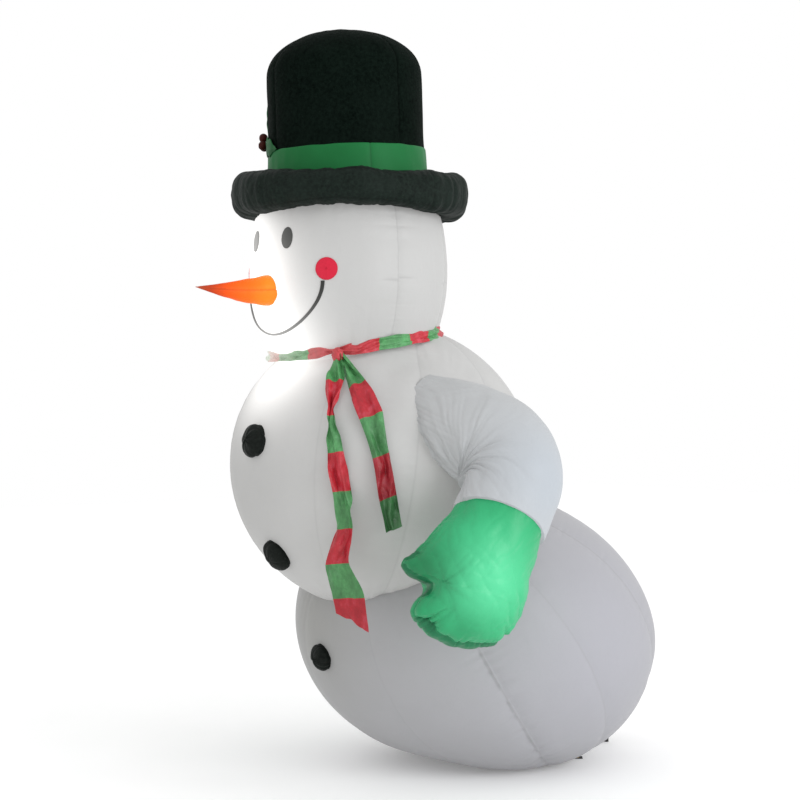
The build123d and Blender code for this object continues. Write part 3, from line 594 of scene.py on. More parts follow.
# ---- gores: the panels of a round bag and the seams between them ----
def spaced_angles(count, seams, radius):
    """Angles round an axis, with more of them close to each seam."""
    angles = list(np.linspace(-pi, pi, count, endpoint=False))
    for seam in seams:
        for offset in (-0.014, -0.008, -0.0035, 0, 0.0035, 0.008, 0.014):
            angles.append((seam + offset / radius + pi) % (2 * pi) - pi)
    angles = np.sort(np.array(angles))
    keep = [0]
    for i in range(1, len(angles)):
        if angles[i] - angles[keep[-1]] > 0.0022 / radius:
            keep.append(i)
    return angles[keep]


def level_round(pole, angle):
    """Directions square to a pole, at angles from the front."""
    front = unit(np.cross(LEFT, pole))
    front = front if front[1] < 0 else -front
    return front * np.cos(angle)[:, None] + LEFT * np.sin(angle)[:, None]


def gore_relief(angle, along, around, seams, bulge=0.008, groove=0.004, weights=None):
    """Relief of a panelled bag and how close each point is to a seam.

    angle: angle round the axis; along: metres down the panel; around: radius there.
    The middle of a panel lies 1 mm under the CAD surface, and a seam lies deeper.
    """
    seams = np.sort(np.asarray(seams))
    edges = np.concatenate([seams[-1:] - 2 * pi, seams, seams[:1] + 2 * pi])
    slot_of = np.clip(np.searchsorted(edges, angle, side="right") - 1, 0, len(edges) - 2)
    left, right = edges[slot_of], edges[slot_of + 1]
    share = (angle - left) / (right - left)
    near_left = share < 0.5
    seam_id = np.where(near_left, slot_of, slot_of + 1) % len(seams)
    gap = np.minimum(angle - left, right - angle) * around
    weight = np.ones(len(seams)) if weights is None else np.asarray(weights, float)
    strength = weight[seam_id] * np.clip(around / 0.15, 0, 1)
    depth = np.clip(strength + 0.1, 0, 1)
    relief = -0.001 - bulge * depth * np.abs(2 * share - 1) ** 4 * np.clip(around / 0.4, 0, 1)
    relief -= groove * depth * fade(gap, 0.008)
    pucker = folds(along / 0.030, seam_id * 3.7, 5) * fade(gap, 0.055)
    pucker += 0.6 * folds(along / 0.014, seam_id * 5.3, 9) * fade(gap, 0.022)
    relief += 0.0042 * strength * pucker * (1 - fade(gap, 0.004))
    seam = bell(gap, 0.0028) * np.clip(around / 0.05, 0, 1) * depth
    return relief, seam


# ---- lower body ----
def lower_skin():
    """The base bag: its panels run from the waist seam down to the ground patch."""
    pole = unit(TORSO.centre - LOWER.centre)
    seams = np.radians([-155, -118, -84, -57, -21, 21, 57, 84, 118, 155])
    weights = [0.9, 0.5, 2.3, 0.35, 0.2, 0.2, 0.35, 2.3, 0.5, 0.9]
    angle = spaced_angles(330, seams, 0.5)
    level = level_round(pole, angle)

    def direction(down):
        return (level[None] * np.sin(down)[..., None] + pole * np.cos(down)[..., None])

    near, far = np.full((1, len(angle)), 0.2), np.full((1, len(angle)), 1.6)
    for _ in range(40):                 # where each meridian comes out of the torso
        half = (near + far) / 2
        inside = TORSO.depth(LOWER.at(direction(half))) < -0.010
        near, far = np.where(inside, half, near), np.where(inside, far, half)
    rows = 205
    share = np.linspace(0, 1, rows)[:, None]
    share = share - 0.10 * np.sin(2 * pi * share) / pi      # closer rows at the two ends
    down = near + (pi - 0.02 - near) * share
    d = direction(down)
    reach = LOWER.reach(d)
    around = reach * np.sin(down)
    along = (down - near) * reach
    theta = np.broadcast_to(angle, down.shape)
    relief, seam = gore_relief(theta, along, around, seams, 0.005, 0.003, weights)
    relief += 0.0035 * ring_noise(theta, 9, along * 4, 21)
    waist = fade(along, 0.030)      # gathers where the base is sewn to the torso
    relief += 0.0040 * ring_folds(theta, 78, along * 2, 31) * fade(along, 0.06)
    relief -= 0.004 * waist
    p = LOWER.centre + d * (reach + relief)[..., None]
    wrinkle = 0.004 * (1 + ring_noise(theta, 100, along * 9, 41)) * bell(p[..., 2] - 0.02, 0.05)
    floor = 0.0012 + wrinkle * step(np.hypot(p[..., 0], p[..., 1] - 0.06), 0.22, 0.34)
    soft = 0.012                        # rounds the corner where the cloth meets the ground
    z = p[..., 2]
    p[..., 2] = np.where(z > floor + 5 * soft, z,
                         floor + soft * np.log1p(np.exp(np.clip((z - floor) / soft, -40, 40)))
                         * step(z, -0.05, 0.03))
    seam = np.maximum(seam * step(p[..., 2], 0.0, 0.03), 0.9 * bell(along, 0.004))
    rim = p[0].mean(0)
    piece = skin("lower_body_skin", p, end_closed=True, inside_out=True, seam=seam)
    start, end = rim - pole * 0.16, rim - pole * 0.01
    return placed(piece, BASE_WHITE, ("base", "upper", tuple(start), tuple(end)), "white_fabric",
                  "lower_body", "floor_panel")


def torso_skin():
    """The chest bag. Its gores hang from under the scarf."""
    pole = unit(np.array((0, 0.147, 0.989)))
    seams = np.radians([-136, -100, -65, -29, 29, 65, 100, 136, 180])
    weights = [0.5, 0.6, 0.4, 0.55, 0.55, 0.4, 0.6, 0.5, 0.5]
    angle = spaced_angles(330, seams, 0.45)
    level = level_round(pole, angle)
    down = np.linspace(0.02, pi - 0.02, 215)[:, None] + 0 * angle
    d = level[None] * np.sin(down)[..., None] + pole * np.cos(down)[..., None]
    reach = TORSO.reach(d)
    around, along = reach * np.sin(down), down * reach
    theta = np.broadcast_to(angle, down.shape)
    relief, seam = gore_relief(theta, along, around, seams, 0.004, 0.0028, weights)
    relief += 0.0025 * ring_noise(theta, 9, along * 4, 23)
    p = TORSO.centre + d * (reach + relief)[..., None]
    to_lower = LOWER.depth(p)           # waist: a crease with short gathers above it
    above = np.clip(to_lower, 0, None)
    relief = -0.005 * fade(above, 0.012)
    relief += 0.0045 * ring_folds(theta, 88, 0, 33) * fade(above, 0.05)
    for side in (1, -1):                # a dimple where each arm is sewn in
        root = SHOULDER * (side, 1, 1)
        out = unit(root - TORSO.centre)
        off = np.linalg.norm(np.cross(p - TORSO.centre, out), axis=-1)
        facing = (p - TORSO.centre) @ out > 0
        relief -= 0.010 * bell(off - ARM_RADIUS, 0.05) * facing
        turn = np.arctan2((p - root) @ unit(np.cross(out, UP)), (p - root)[..., 2])
        beside = fade(np.abs(off - ARM_RADIUS - 0.03), 0.05) * facing
        relief += 0.003 * folds(turn * 7, 0, 57) * beside
    p = p + d * relief[..., None]
    piece = skin("torso_skin", p, True, True, inside_out=True, seam=seam)
    return placed(piece, WHITE, "upper", "white_fabric", "torso")


def head_skin():
    """The head bag: a drum with rounded sides, gores, and cross seams on them."""
    seams = np.radians([-132, -84, 84, 132, 180])
    angle = spaced_angles(300, seams, 0.3)
    z = np.linspace(1.335, 1.852, 170)[:, None] + 0 * angle
    theta = np.broadcast_to(angle, z.shape)
    radius = head_radius(z)
    along = z.max() - z
    relief, seam = gore_relief(theta, along, radius + 0.1, seams, 0.006, 0.0035,
                               [0.9, 0.8, 0.8, 0.9, 0.7])
    relief += 0.002 * ring_noise(theta, 9, along * 6, 25)
    for side in (-84, -132, 84, 132):   # short cross seam on each side seam
        off = (theta - radians(side)) * radius
        reach = bell(off, 0.055, 4)
        gap = np.abs(z - 1.612 - 0.004 * np.sign(off))
        relief -= 0.0035 * reach * fade(gap, 0.006)
        seam = np.maximum(seam, reach * bell(gap, 0.003))
    chin = fade(z - 1.40, 0.06)       # gathers into the neck
    relief += 0.006 * ring_folds(theta, 35, z * 3, 43) * chin
    under = fade(1.83 - z, 0.03)      # and up under the brim
    relief += 0.004 * ring_folds(theta, 52, z * 3, 45) * under
    piece = skin("head_skin", upright(theta, radius + relief, z), True, True, seam=seam)
    return placed(piece, WHITE, "upper", "white_fabric", "head")


# ---- patches sewn on the head ----
def head_patch(name, node, angle, half_width, half_height, material, slot):
    """An oval patch with a turned-in edge, sewn round a place on the head."""
    z = middle(node)[2]
    t = full_turn(72)
    r = np.array([0.02, 0.2, 0.4, 0.6, 0.75, 0.87, 0.94, 0.98, 1.0, 1.0])[:, None]
    lift = np.array([2.6, 2.6, 2.5, 2.3, 2.1, 1.9, 1.6, 1.2, 0.6, -3.0])[:, None] * MM
    lift = lift + 0.0006 * noise(t * 8, r * 6, 61)
    turn = angle + half_width * r * np.cos(t) / head_radius(np.array(z))
    zz = z + half_height * r * np.sin(t)
    p = upright(turn, head_radius(zz) + lift, zz)
    seam = np.where(r > 0.93, 1.0, 0.0) + 0 * t
    piece = skin(name, p, start_closed=True, inside_out=True, seam=seam * 0.6)
    return placed(piece, material, "upper", slot, node)


def mouth_line():
    """A flat cord of a smile from cheek to cheek."""
    half, deep, top, line = 0.199, 0.161, 1.603, 0.0036
    t = np.linspace(pi, 2 * pi, 150)[:, None]
    side = np.array([-1, -1, -0.6, 0, 0.6, 1, 1])[None]
    lift = np.array([-2.5, 1.2, 3.0, 3.8, 3.0, 1.2, -2.5])[None] * MM
    width = line * (0.95 + 0.25 * np.cos(t))
    across = (half + side * width) * np.cos(t)
    z = top + (deep + side * width) * np.sin(t)
    p = upright(np.arcsin(np.clip(across / 0.31, -1, 1)), head_radius(z) + lift, z)
    piece = mesh_piece("mouth_line", p.reshape(-1, 3), grid_faces(150, 7, False),
                       seam=np.zeros(150 * 7))
    return placed(piece, FACE_BLACK, "upper", "black_fabric", "mouth")


def nose_cone():
    """A carrot sewn from two long panels."""
    low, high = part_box("nose")
    root, tip, z0 = high.y + 0.012, low.y, middle("nose")[2]
    length = root - tip
    t = np.linspace(0, 1, 120)[:, None]
    a = full_turn(96)
    base = (high.z - low.z) / 2
    radius = 1.10 * base * (1 - t ** 1.08) * (1 + 0.04 * np.sin(pi * t))
    radius = radius + 0.0035 * np.sqrt(1 - t + 0.001)       # blunt at the tip
    seam_gap = np.minimum(np.abs(np.sin(a)), 1) * radius
    seam = bell(seam_gap, 0.0025) * (t < 0.97)
    relief = 0.10 * radius * folds(t * 22 + np.cos(a), a / pi * 2, 71) * fade(seam_gap, 0.012)
    relief += 0.05 * radius * noise(t * 9, a / pi * 3, 73)
    relief += 0.09 * radius * ring_folds(a, 18, t * 5, 75) * fade(t, 0.10)
    radius = radius + relief * 0.8 - 0.0015 * seam
    bend = 0.006 * np.sin(pi * t)
    p = np.stack([0.007 * (1 - t) + radius * np.cos(a), root - t * length + 0 * a,
                  z0 + radius * np.sin(a) - bend], -1)
    piece = skin("carrot_nose", p, end_closed=True, inside_out=False, seam=seam)
    return placed(piece, carrot(), "upper", "carrot_orange", "nose")


# ---- hat ----
HAT_LEAN = radians(2.5)
CROWN_RADIUS, CROWN_SIDE, CROWN_DOME = 0.252, 2.288, 0.146      # side and dome: heights
DOME_RUN = 0.200                                # how much z runs on from the side to the top
BAND_LOW, BAND_TALL, BAND_SEAM = 1.948, 0.093, radians(71)


def hat_lean(p):
    q = p - BRIM
    c, s = cos(HAT_LEAN), sin(HAT_LEAN)
    y, z = q[..., 1] * c - q[..., 2] * s, q[..., 1] * s + q[..., 2] * c
    return BRIM + np.stack([q[..., 0], y, z], -1)


def crown_point(angle, z, lift):
    """A point of the crown's side or dome. z runs on over the dome."""
    rise = np.clip((z - CROWN_SIDE) / DOME_RUN, 0, pi / 2 - 0.01)
    flare = 0.006 * fade(z - 1.95, 0.06)
    r = np.where(z > CROWN_SIDE, (CROWN_RADIUS + lift) * np.cos(rise), CROWN_RADIUS + lift + flare)
    high = np.where(z > CROWN_SIDE, CROWN_SIDE + (CROWN_DOME + lift) * np.sin(rise), z)
    return hat_lean(upright(angle, r, high))


def hat_crown_skin():
    seams = np.radians([-97, -10, 97, 180])
    angle = spaced_angles(250, seams, 0.25)
    dome = np.linspace(CROWN_SIDE + 0.005, CROWN_SIDE + DOME_RUN * 1.55, 80)
    z = np.concatenate([np.linspace(1.875, CROWN_SIDE, 90), dome])[:, None] + 0 * angle
    theta = np.broadcast_to(angle, z.shape)
    gap = np.min([np.abs((theta - s + pi) % (2 * pi) - pi) for s in seams], axis=0) * 0.25
    seam = bell(gap, 0.003) * (z < 2.5)
    lift = -0.001 - 0.003 * fade(gap, 0.008) + 0.0012 * ring_noise(theta, 31, z * 12, 81)
    lift += 0.0025 * folds(z / 0.02, theta * 3, 83) * fade(gap, 0.02)
    top = np.clip(2.600 - z, 0, None)   # gathers where the panels meet at the top
    lift += 0.0050 * ring_folds(theta, 22, z * 6, 85) * fade(top, 0.07)
    brim = fade(z - 1.935, 0.03)
    lift += 0.003 * ring_folds(theta, 56, z * 4, 87) * brim
    piece = skin("hat_crown_skin", crown_point(theta, z, lift), True, True, seam=seam)
    return placed(piece, HAT_BLACK, "upper", "black_fabric", "hat_crown")


def hat_band_strip():
    """The green band, sewn on at its two edges, with a seam up its left side."""
    angle = spaced_angles(300, [BAND_SEAM], 0.25)
    share = np.array([0, 0, 0.03, 0.08, 0.2, 0.35, 0.5, 0.65, 0.8, 0.92, 0.97, 1, 1])[:, None]
    rise = [-3, 1.2, 2.2, 2.8, 3.2, 3.4, 3.5, 3.4, 3.2, 2.8, 2.2, 1.2, -3]      # millimetres
    rise = np.array(rise)[:, None] * MM
    theta = np.broadcast_to(angle, (len(share), len(angle)))
    z = BAND_LOW + BAND_TALL * share + 0.0015 * ring_noise(theta, 38, 0, 91)
    gap = np.abs(theta - BAND_SEAM) * 0.25
    lift = rise + 0.0010 * ring_noise(theta, 75, share * 3, 93) - 0.002 * fade(gap, 0.006)
    lift = lift + 0.0016 * folds(share * 6, theta * 4, 95) * fade(gap, 0.02)
    seam = np.maximum(0.9 * bell(gap, 0.0025), 0.7 * (np.abs(share - 0.5) > 0.485))
    p = crown_point(theta, z + 0 * theta, lift)
    piece = skin("hat_band_strip", p, seam=seam)
    return placed(piece, BAND, "upper", "green_band", "hat_band")


def hat_brim_skin():
    """The stuffed brim: it curls up front right and back left, and sags between."""
    columns, rows = 420, 110
    u = np.linspace(-pi, pi, columns, endpoint=False)[None]
    v = np.linspace(0, 2 * pi, rows, endpoint=False)[:, None]
    curl = np.cos(u - radians(-37.5)) ** 2
    wide, high = 0.0685, 0.060 + 0.016 * curl
    sag = 0.004 - 0.002 * (1 - curl)
    outer = step(np.cos(v), -0.6, 0.6)
    level = np.abs(1 - v / pi)
    crease = ring_folds(u, 60, level * 1.6, 101)
    fine = ring_folds(u, 132, level * 2.5, 103)
    puff = 1 + 0.100 * crease * (0.65 + 0.35 * np.abs(np.sin(v))) + 0.055 * fine
    puff = puff + 0.06 * ring_noise(u, 25, level * 2, 105)
    puff = puff + 0.07 * np.sin(2 * v) ** 2                 # boxy, sewn along two outer edges
    seam = 0 * (u + v)
    for sewn in (0.80, -0.85):
        edge = np.abs(np.angle(np.exp(1j * (v - sewn - 0.05 * ring_noise(u, 31, 0, 109)))))
        puff = puff - 0.05 * fade(edge, 0.08) * (1 + 1.2 * crease + 0.8 * fine)
        seam = np.maximum(seam, 0.8 * bell(edge, 0.04))
    radius = 0.3215 + wide * np.cos(v) * puff
    z = BRIM[2] + sag + high * np.sin(v) * puff + 0.006 * ring_noise(u, 19, 0, 107) * outer
    p = upright(np.broadcast_to(u, puff.shape), radius, z) + (0.004, 0.005, 0)
    piece = skin("hat_brim_skin", np.concatenate([p, p[:1]]), seam=np.concatenate([seam, seam[:1]]),
                 inside_out=True)
    face_outward(piece, 1e-6)
    placed(piece, BRIM_BLACK, "upper", "black_fabric", "hat_brim")
    return piece


HOLLY_ANGLE, HOLLY_Z = radians(-42), 2.072
LEAF_LENGTH, LEAF_HALF_WIDTH, LEAF_THICK = 0.150, 0.034, 0.0012
BERRY_RADIUS, BERRY_SPREAD = 0.0150, 0.018


def holly():
    """A sprig: three lobed leaves and a cluster of stuffed berries."""
    leaves = {"holly_leaf_upright": 8, "holly_leaf_left": 105, "holly_leaf_right": -100}
    for layer, (node, turn) in enumerate(leaves.items()):
        t = np.linspace(0.001, 1, 60)[:, None]
        s = np.linspace(-1, 1, 13)[None]
        lobe = 0.72 + 0.28 * np.abs(np.cos(t * pi * 3.0))
        half = LEAF_HALF_WIDTH * np.sin(pi * t ** 0.85) * lobe + 0.0004
        x, y = s * half, 0.012 + LEAF_LENGTH * t + 0 * s
        c, q = cos(radians(turn)), sin(radians(turn))
        across, up = x * c - y * q, x * q + y * c
        lift = 0.0025 + layer * 0.0016 + 0.004 * (1 - s * s) * np.sin(pi * t)
        lift = lift + 0.001 * noise(t * 8, s * 3, 5)
        angle = HOLLY_ANGLE + across / 0.25
        p = crown_point(angle, HOLLY_Z + up, lift)
        vein = np.maximum(0.8 * bell(x, 0.0018),
                          0.5 * bell((t * 14 - np.abs(s) * 3) % 1 - 0.5, 0.12))
        piece = mesh_piece(node + "_cloth", p.reshape(-1, 3), grid_faces(60, 13, False),
                           seam=vein)
        thicken(piece, LEAF_THICK)
        placed(piece, LEAF, "upper", "holly_green", node)
    out = heading(np.array(HOLLY_ANGLE))
    level = np.array((-out[1], out[0], 0))
    points, faces = [], []
    for turn in (90, 210, 330):
        centre = np.array((0, HEAD_Y - (HOLLY_Z - BRIM[2]) * sin(HAT_LEAN), HOLLY_Z))
        centre = centre + out * 0.272 + level * BERRY_SPREAD * cos(radians(turn))
        centre[2] += BERRY_SPREAD * sin(radians(turn))
        v = np.linspace(0.03, pi - 0.03, 26)[:, None]
        u = full_turn(40)
        r = BERRY_RADIUS * (1 + 0.05 * ring_folds(u, 10, v * 2, turn) * np.abs(np.cos(v))
                            - 0.10 * bell(v, 0.35))
        ball = lump(centre, out, level, UP, r, r, r, v, u)
        rows, columns = ball.shape[:2]
        closed = (grid_faces(rows, columns) + cap_faces(0, columns, rows * columns)
                  + cap_faces(rows - 1, columns, rows * columns + 1))
        faces += [[len(points) + i for i in face] for face in closed]
        points += [*ball.reshape(-1, 3), ball[0].mean(0), ball[-1].mean(0)]
    piece = mesh_piece("berry_cluster", points, faces, seam=np.zeros(len(points)))
    face_outward(piece, 1e-7)
    placed(piece, BERRY, "upper", "berry_red", "holly_berries")


# ---- arms ----
SHOULDER, ELBOW, WRIST = (np.array(p) for p in ((0.340, -0.550, 1.200), (0.655, -0.430, 1.050),
                                                (0.682, -0.570, 0.875)))
ARM_RADIUS, ELBOW_BEND = 0.158, 0.172
MITTEN_TIP = np.array((0.705, -0.705, 0.530))
CUFF = np.array((0.694, -0.555, 0.875))                 # where the sleeve ends
RIGHT_TURN = radians(46)
SIDES = {1: "left", -1: "right"}


def turned(p, axis, angle, origin):
    """Points turned about an axis by the right-hand rule."""
    q, k = p - origin, unit(axis)
    return origin + q * cos(angle) + np.cross(k, q) * sin(angle) + k * (q @ k)[..., None] * (
        1 - cos(angle))


def on_side(p, side):
    """The left arm's points, or the right arm's: mirrored, then turned back at the shoulder."""
    if side > 0:
        return p
    root = SHOULDER * (-1, 1, 1)
    return turned(p * (-1, 1, 1), root - TORSO.centre, -RIGHT_TURN, TORSO.centre)


def arm_path(count=200):
    """Centre line of the arm with its round elbow: points, directions, distances, inner side."""
    a, b = unit(ELBOW - SHOULDER), unit(CUFF - ELBOW)
    bend = np.arccos(np.clip(a @ b, -1, 1))
    cut = ELBOW_BEND * np.tan(bend / 2)
    p1, p2 = ELBOW - a * cut, ELBOW + b * cut
    inner = unit(b - a)
    hub = ELBOW + inner * (ELBOW_BEND / np.cos(bend / 2))
    l1, l2, l3 = np.linalg.norm(p1 - SHOULDER), ELBOW_BEND * bend, np.linalg.norm(CUFF - p2)
    back, on = 0.015, 0.004
    s = np.linspace(-back, l1 + l2 + l3 + on, count)
    turn = np.clip((s - l1) / ELBOW_BEND, 0, bend)[:, None]
    side = unit(p1 - hub)
    arc = hub + ELBOW_BEND * (side * np.cos(turn) + a * np.sin(turn))
    points = arc + np.minimum(s - l1, 0)[:, None] * a + np.maximum(s - l1 - l2, 0)[:, None] * b
    directions = a * np.cos(turn) - side * np.sin(turn)
    return points, directions, s, l1 + l2 / 2


def arm_skin(side):
    """The sleeve: creased at the inside of the elbow, from where folds fan up over the arm."""
    points, directions, s, bend_at = arm_path()
    normal = unit(np.cross(ELBOW - SHOULDER, CUFF - ELBOW))
    inward = np.cross(normal, directions)
    if inward[100] @ ((SHOULDER + CUFF) / 2 - ELBOW) < 0:
        inward = -inward
    columns = 280
    a = np.linspace(-pi, pi, columns, endpoint=False)[None]     # 0 on the inside of the elbow
    sd = s[:, None]
    du, dv = sd - bend_at, a * ARM_RADIUS
    far = np.hypot(du * 0.9, dv)
    spoke = np.arctan2(du, np.abs(dv) + 1e-6) + 0.25 * noise(far * 9, np.sign(a) * 2, 3)
    fan = folds(spoke * 5.2 + np.sign(a) * 40, far * 3.2, 111) + 0.5 * folds(
        spoke * 11 + np.sign(a) * 40, far * 5, 113)
    reach = step(far, 0.015, 0.08) * bell(far, 0.30)
    relief = 0.0150 * fan * reach
    fine = folds(spoke * 16 + np.sign(a) * 40, far * 7, 125) * reach
    relief += 0.0045 * fine
    fold = bell(dv, 0.10)                              # deep creases at the inside
    relief += 0.011 * folds(du / 0.038 + 0.5, a * 0.6, 115) * fold * bell(du, 0.11)
    turned_x, turned_y = 2.4 * np.cos(a), 2.4 * np.sin(a)
    relief += 0.0022 * noise(sd * 16 + turned_x, turned_y + 5, 117)
    relief += 0.0012 * folds(sd * 30 + 2 * turned_x, 2 * turned_y + 9, 119)
    relief += 0.010 * bell(sd - 0.26, 0.11) - 0.006 * step(sd, 0.40, 0.50)
    relief -= 0.024 * (1 - step(sd, -0.02, 0.16))
    near_cuff = fade(s.max() - sd, 0.035)
    relief += 0.0025 * ring_folds(a, 20, 0, 121) * near_cuff - 0.0025 * near_cuff

    def tube(r):
        return points[:, None] + inward[:, None] * (r * np.cos(a))[..., None] + normal * (
            r * np.sin(a))[..., None]

    r = ARM_RADIUS - 0.003 + relief
    out = TORSO.depth(tube(r))
    ring = bell(out, 0.016)                           # sewn into the torso
    gather = ring_folds(a, 56, 0, 123) * fade(out, 0.06)
    r = r - 0.006 * ring + 0.005 * gather
    seam = 0.8 * bell(out - 0.002, 0.0045)
    under = np.abs(np.angle(np.exp(1j * (a - radians(150))))) * ARM_RADIUS
    seam = np.maximum(seam, 0.6 * bell(under, 0.004))
    # Painted shade in the valleys of the fanned folds, kept in the seam attribute with the real
    # seams.
    seam = np.maximum(seam, 0.5 * step(-fan, 0.85, 1.35) * reach + 0.3 * step(-fine, 0.45, 0.9))
    p = on_side(tube(r), side)
    name = SIDES[side]
    piece = skin(f"arm_{name}_sleeve", p, True, True, inside_out=side > 0, seam=seam)
    root = SHOULDER * (side, 1, 1)
    axis = unit(root - TORSO.centre)
    start, end = root - axis * 0.02, root + axis * 0.20
    return placed(piece, ARM_WHITE, ("upper", f"{name}_arm", tuple(start), tuple(end)),
                  "white_fabric", f"arm_{name}")


def remeshed(piece, voxel, smooth):
    """The piece as one closed even mesh."""
    m = piece.modifiers.new("remesh", "REMESH")
    m.mode, m.voxel_size = "VOXEL", voxel
    n = piece.modifiers.new("smooth", "SMOOTH")
    n.factor, n.iterations = 0.5, smooth
    bpy.context.view_layer.update()
    whole = piece.evaluated_get(bpy.context.evaluated_depsgraph_get())
    mesh = bpy.data.meshes.new_from_object(whole)
    piece.modifiers.clear()
    piece.data = mesh
    mesh.shade_smooth()
    return piece


def coordinates(mesh):
    """Places and normals of a mesh's points."""
    both = np.zeros((2, len(mesh.vertices) * 3), np.float32)
    mesh.vertices.foreach_get("co", both[0])
    mesh.vertices.foreach_get("normal", both[1])
    return both.reshape(2, -1, 3).astype(float)


# the mitten's flat pattern: metres towards the thumb's side, and down from the wrist
MITTEN_OUTLINE = [(-0.182, -0.125), (-0.168, -0.062), (-0.150, 0.013), (-0.156, 0.073),
                  (-0.153, 0.140), (-0.160, 0.210), (-0.156, 0.268), (-0.124, 0.338),
                  (-0.058, 0.384), (0.022, 0.393), (0.106, 0.382), (0.160, 0.354), (0.178, 0.312),
                  (0.168, 0.268), (0.140, 0.243), (0.165, 0.240), (0.200, 0.240), (0.224, 0.228),
                  (0.246, 0.196), (0.206, 0.146), (0.156, 0.058), (0.118, -0.009),
                  (0.102, -0.067), (0.088, -0.125)]
MITTEN_OPEN = -0.125                 # the open end, level with the outline's first and last points
MITTEN_CELL, MITTEN_VOXEL = 0.004, 0.0042
SWEEPS, OVERSHOOT = 500, 1.93        # of the solver that blows the mitten up


def rounded(outline, cuts=3):
    """A closed outline with its corners cut, again and again."""
    p = np.array(outline, float)
    for _ in range(cuts):
        q = np.roll(p, -1, 0)
        p = np.stack([0.82 * p + 0.18 * q, 0.18 * p + 0.82 * q], 1).reshape(-1, 2)
    return p


def inflated(outline, cell=MITTEN_CELL):
    """Half thickness of a bag sewn from two flat panels and blown up, on a grid."""
    x = np.arange(-0.26, 0.28, cell)
    z = np.arange(MITTEN_OPEN - 2 * cell, 0.42, cell)
    gx, gz = np.meshgrid(x, z, indexing="ij")
    inside = np.zeros(gx.shape, bool)
    for (x0, z0), (x1, z1) in zip(outline, np.roll(outline, -1, 0)):
        crosses = (z0 > gz) != (z1 > gz)
        inside ^= crosses & (gx < (x1 - x0) * (gz - z0) / (z1 - z0 + 1e-12) + x0)
    i, j = np.indices(gx.shape)
    height = np.zeros(gx.shape)
    first = int(np.ceil((MITTEN_OPEN - z[0]) / cell)) + 1
    for _ in range(SWEEPS):
        for parity in (0, 1):
            height[:, first - 1] = height[:, first]         # the open end goes on as it is
            around = (np.roll(height, 1, 0) + np.roll(height, -1, 0) + np.roll(height, 1, 1)
                      + np.roll(height, -1, 1) + cell * cell) / 4
            here = inside & ((i + j) % 2 == parity)
            height[here] += OVERSHOOT * (around[here] - height[here])
    return x, z, inside, np.sqrt(np.maximum(2 * height, 0))


def mitten_mesh(name):
    """The mitten in its own frame: x towards the thumb, y away from the viewer, z down."""
    outline = rounded(MITTEN_OUTLINE)
    x, z, inside, thick = inflated(outline)
    use = inside & (z[None] > -0.10)
    numbers, points, faces = {}, [], []
    for i, j in zip(*np.nonzero(use)):
        corners = [(i, j), (i + 1, j), (i + 1, j + 1), (i, j + 1)]
        for side in (-1, 1):
            ring = []
            for c in corners:
                key = (*c, side)
                if key not in numbers:
                    numbers[key] = len(points)
                    near = thick[max(c[0] - 1, 0):c[0] + 1, max(c[1] - 1, 0):c[1] + 1]
                    points.append((x[c[0]], side * max(float(near.mean()), 0.004), z[c[1]]))
                ring.append(numbers[key])
            faces.append(tuple(ring if side > 0 else reversed(ring)))
        for k, (di, dj) in enumerate(((0, -1), (1, 0), (0, 1), (-1, 0))):
            if not use[i + di, j + dj]:
                p, q = corners[k], corners[(k + 1) % 4]
                faces.append((numbers[(*p, -1)], numbers[(*q, -1)], numbers[(*q, 1)],
                              numbers[(*p, 1)]))
    return remeshed(mesh_piece(name, points, faces), MITTEN_VOXEL, 14), outline


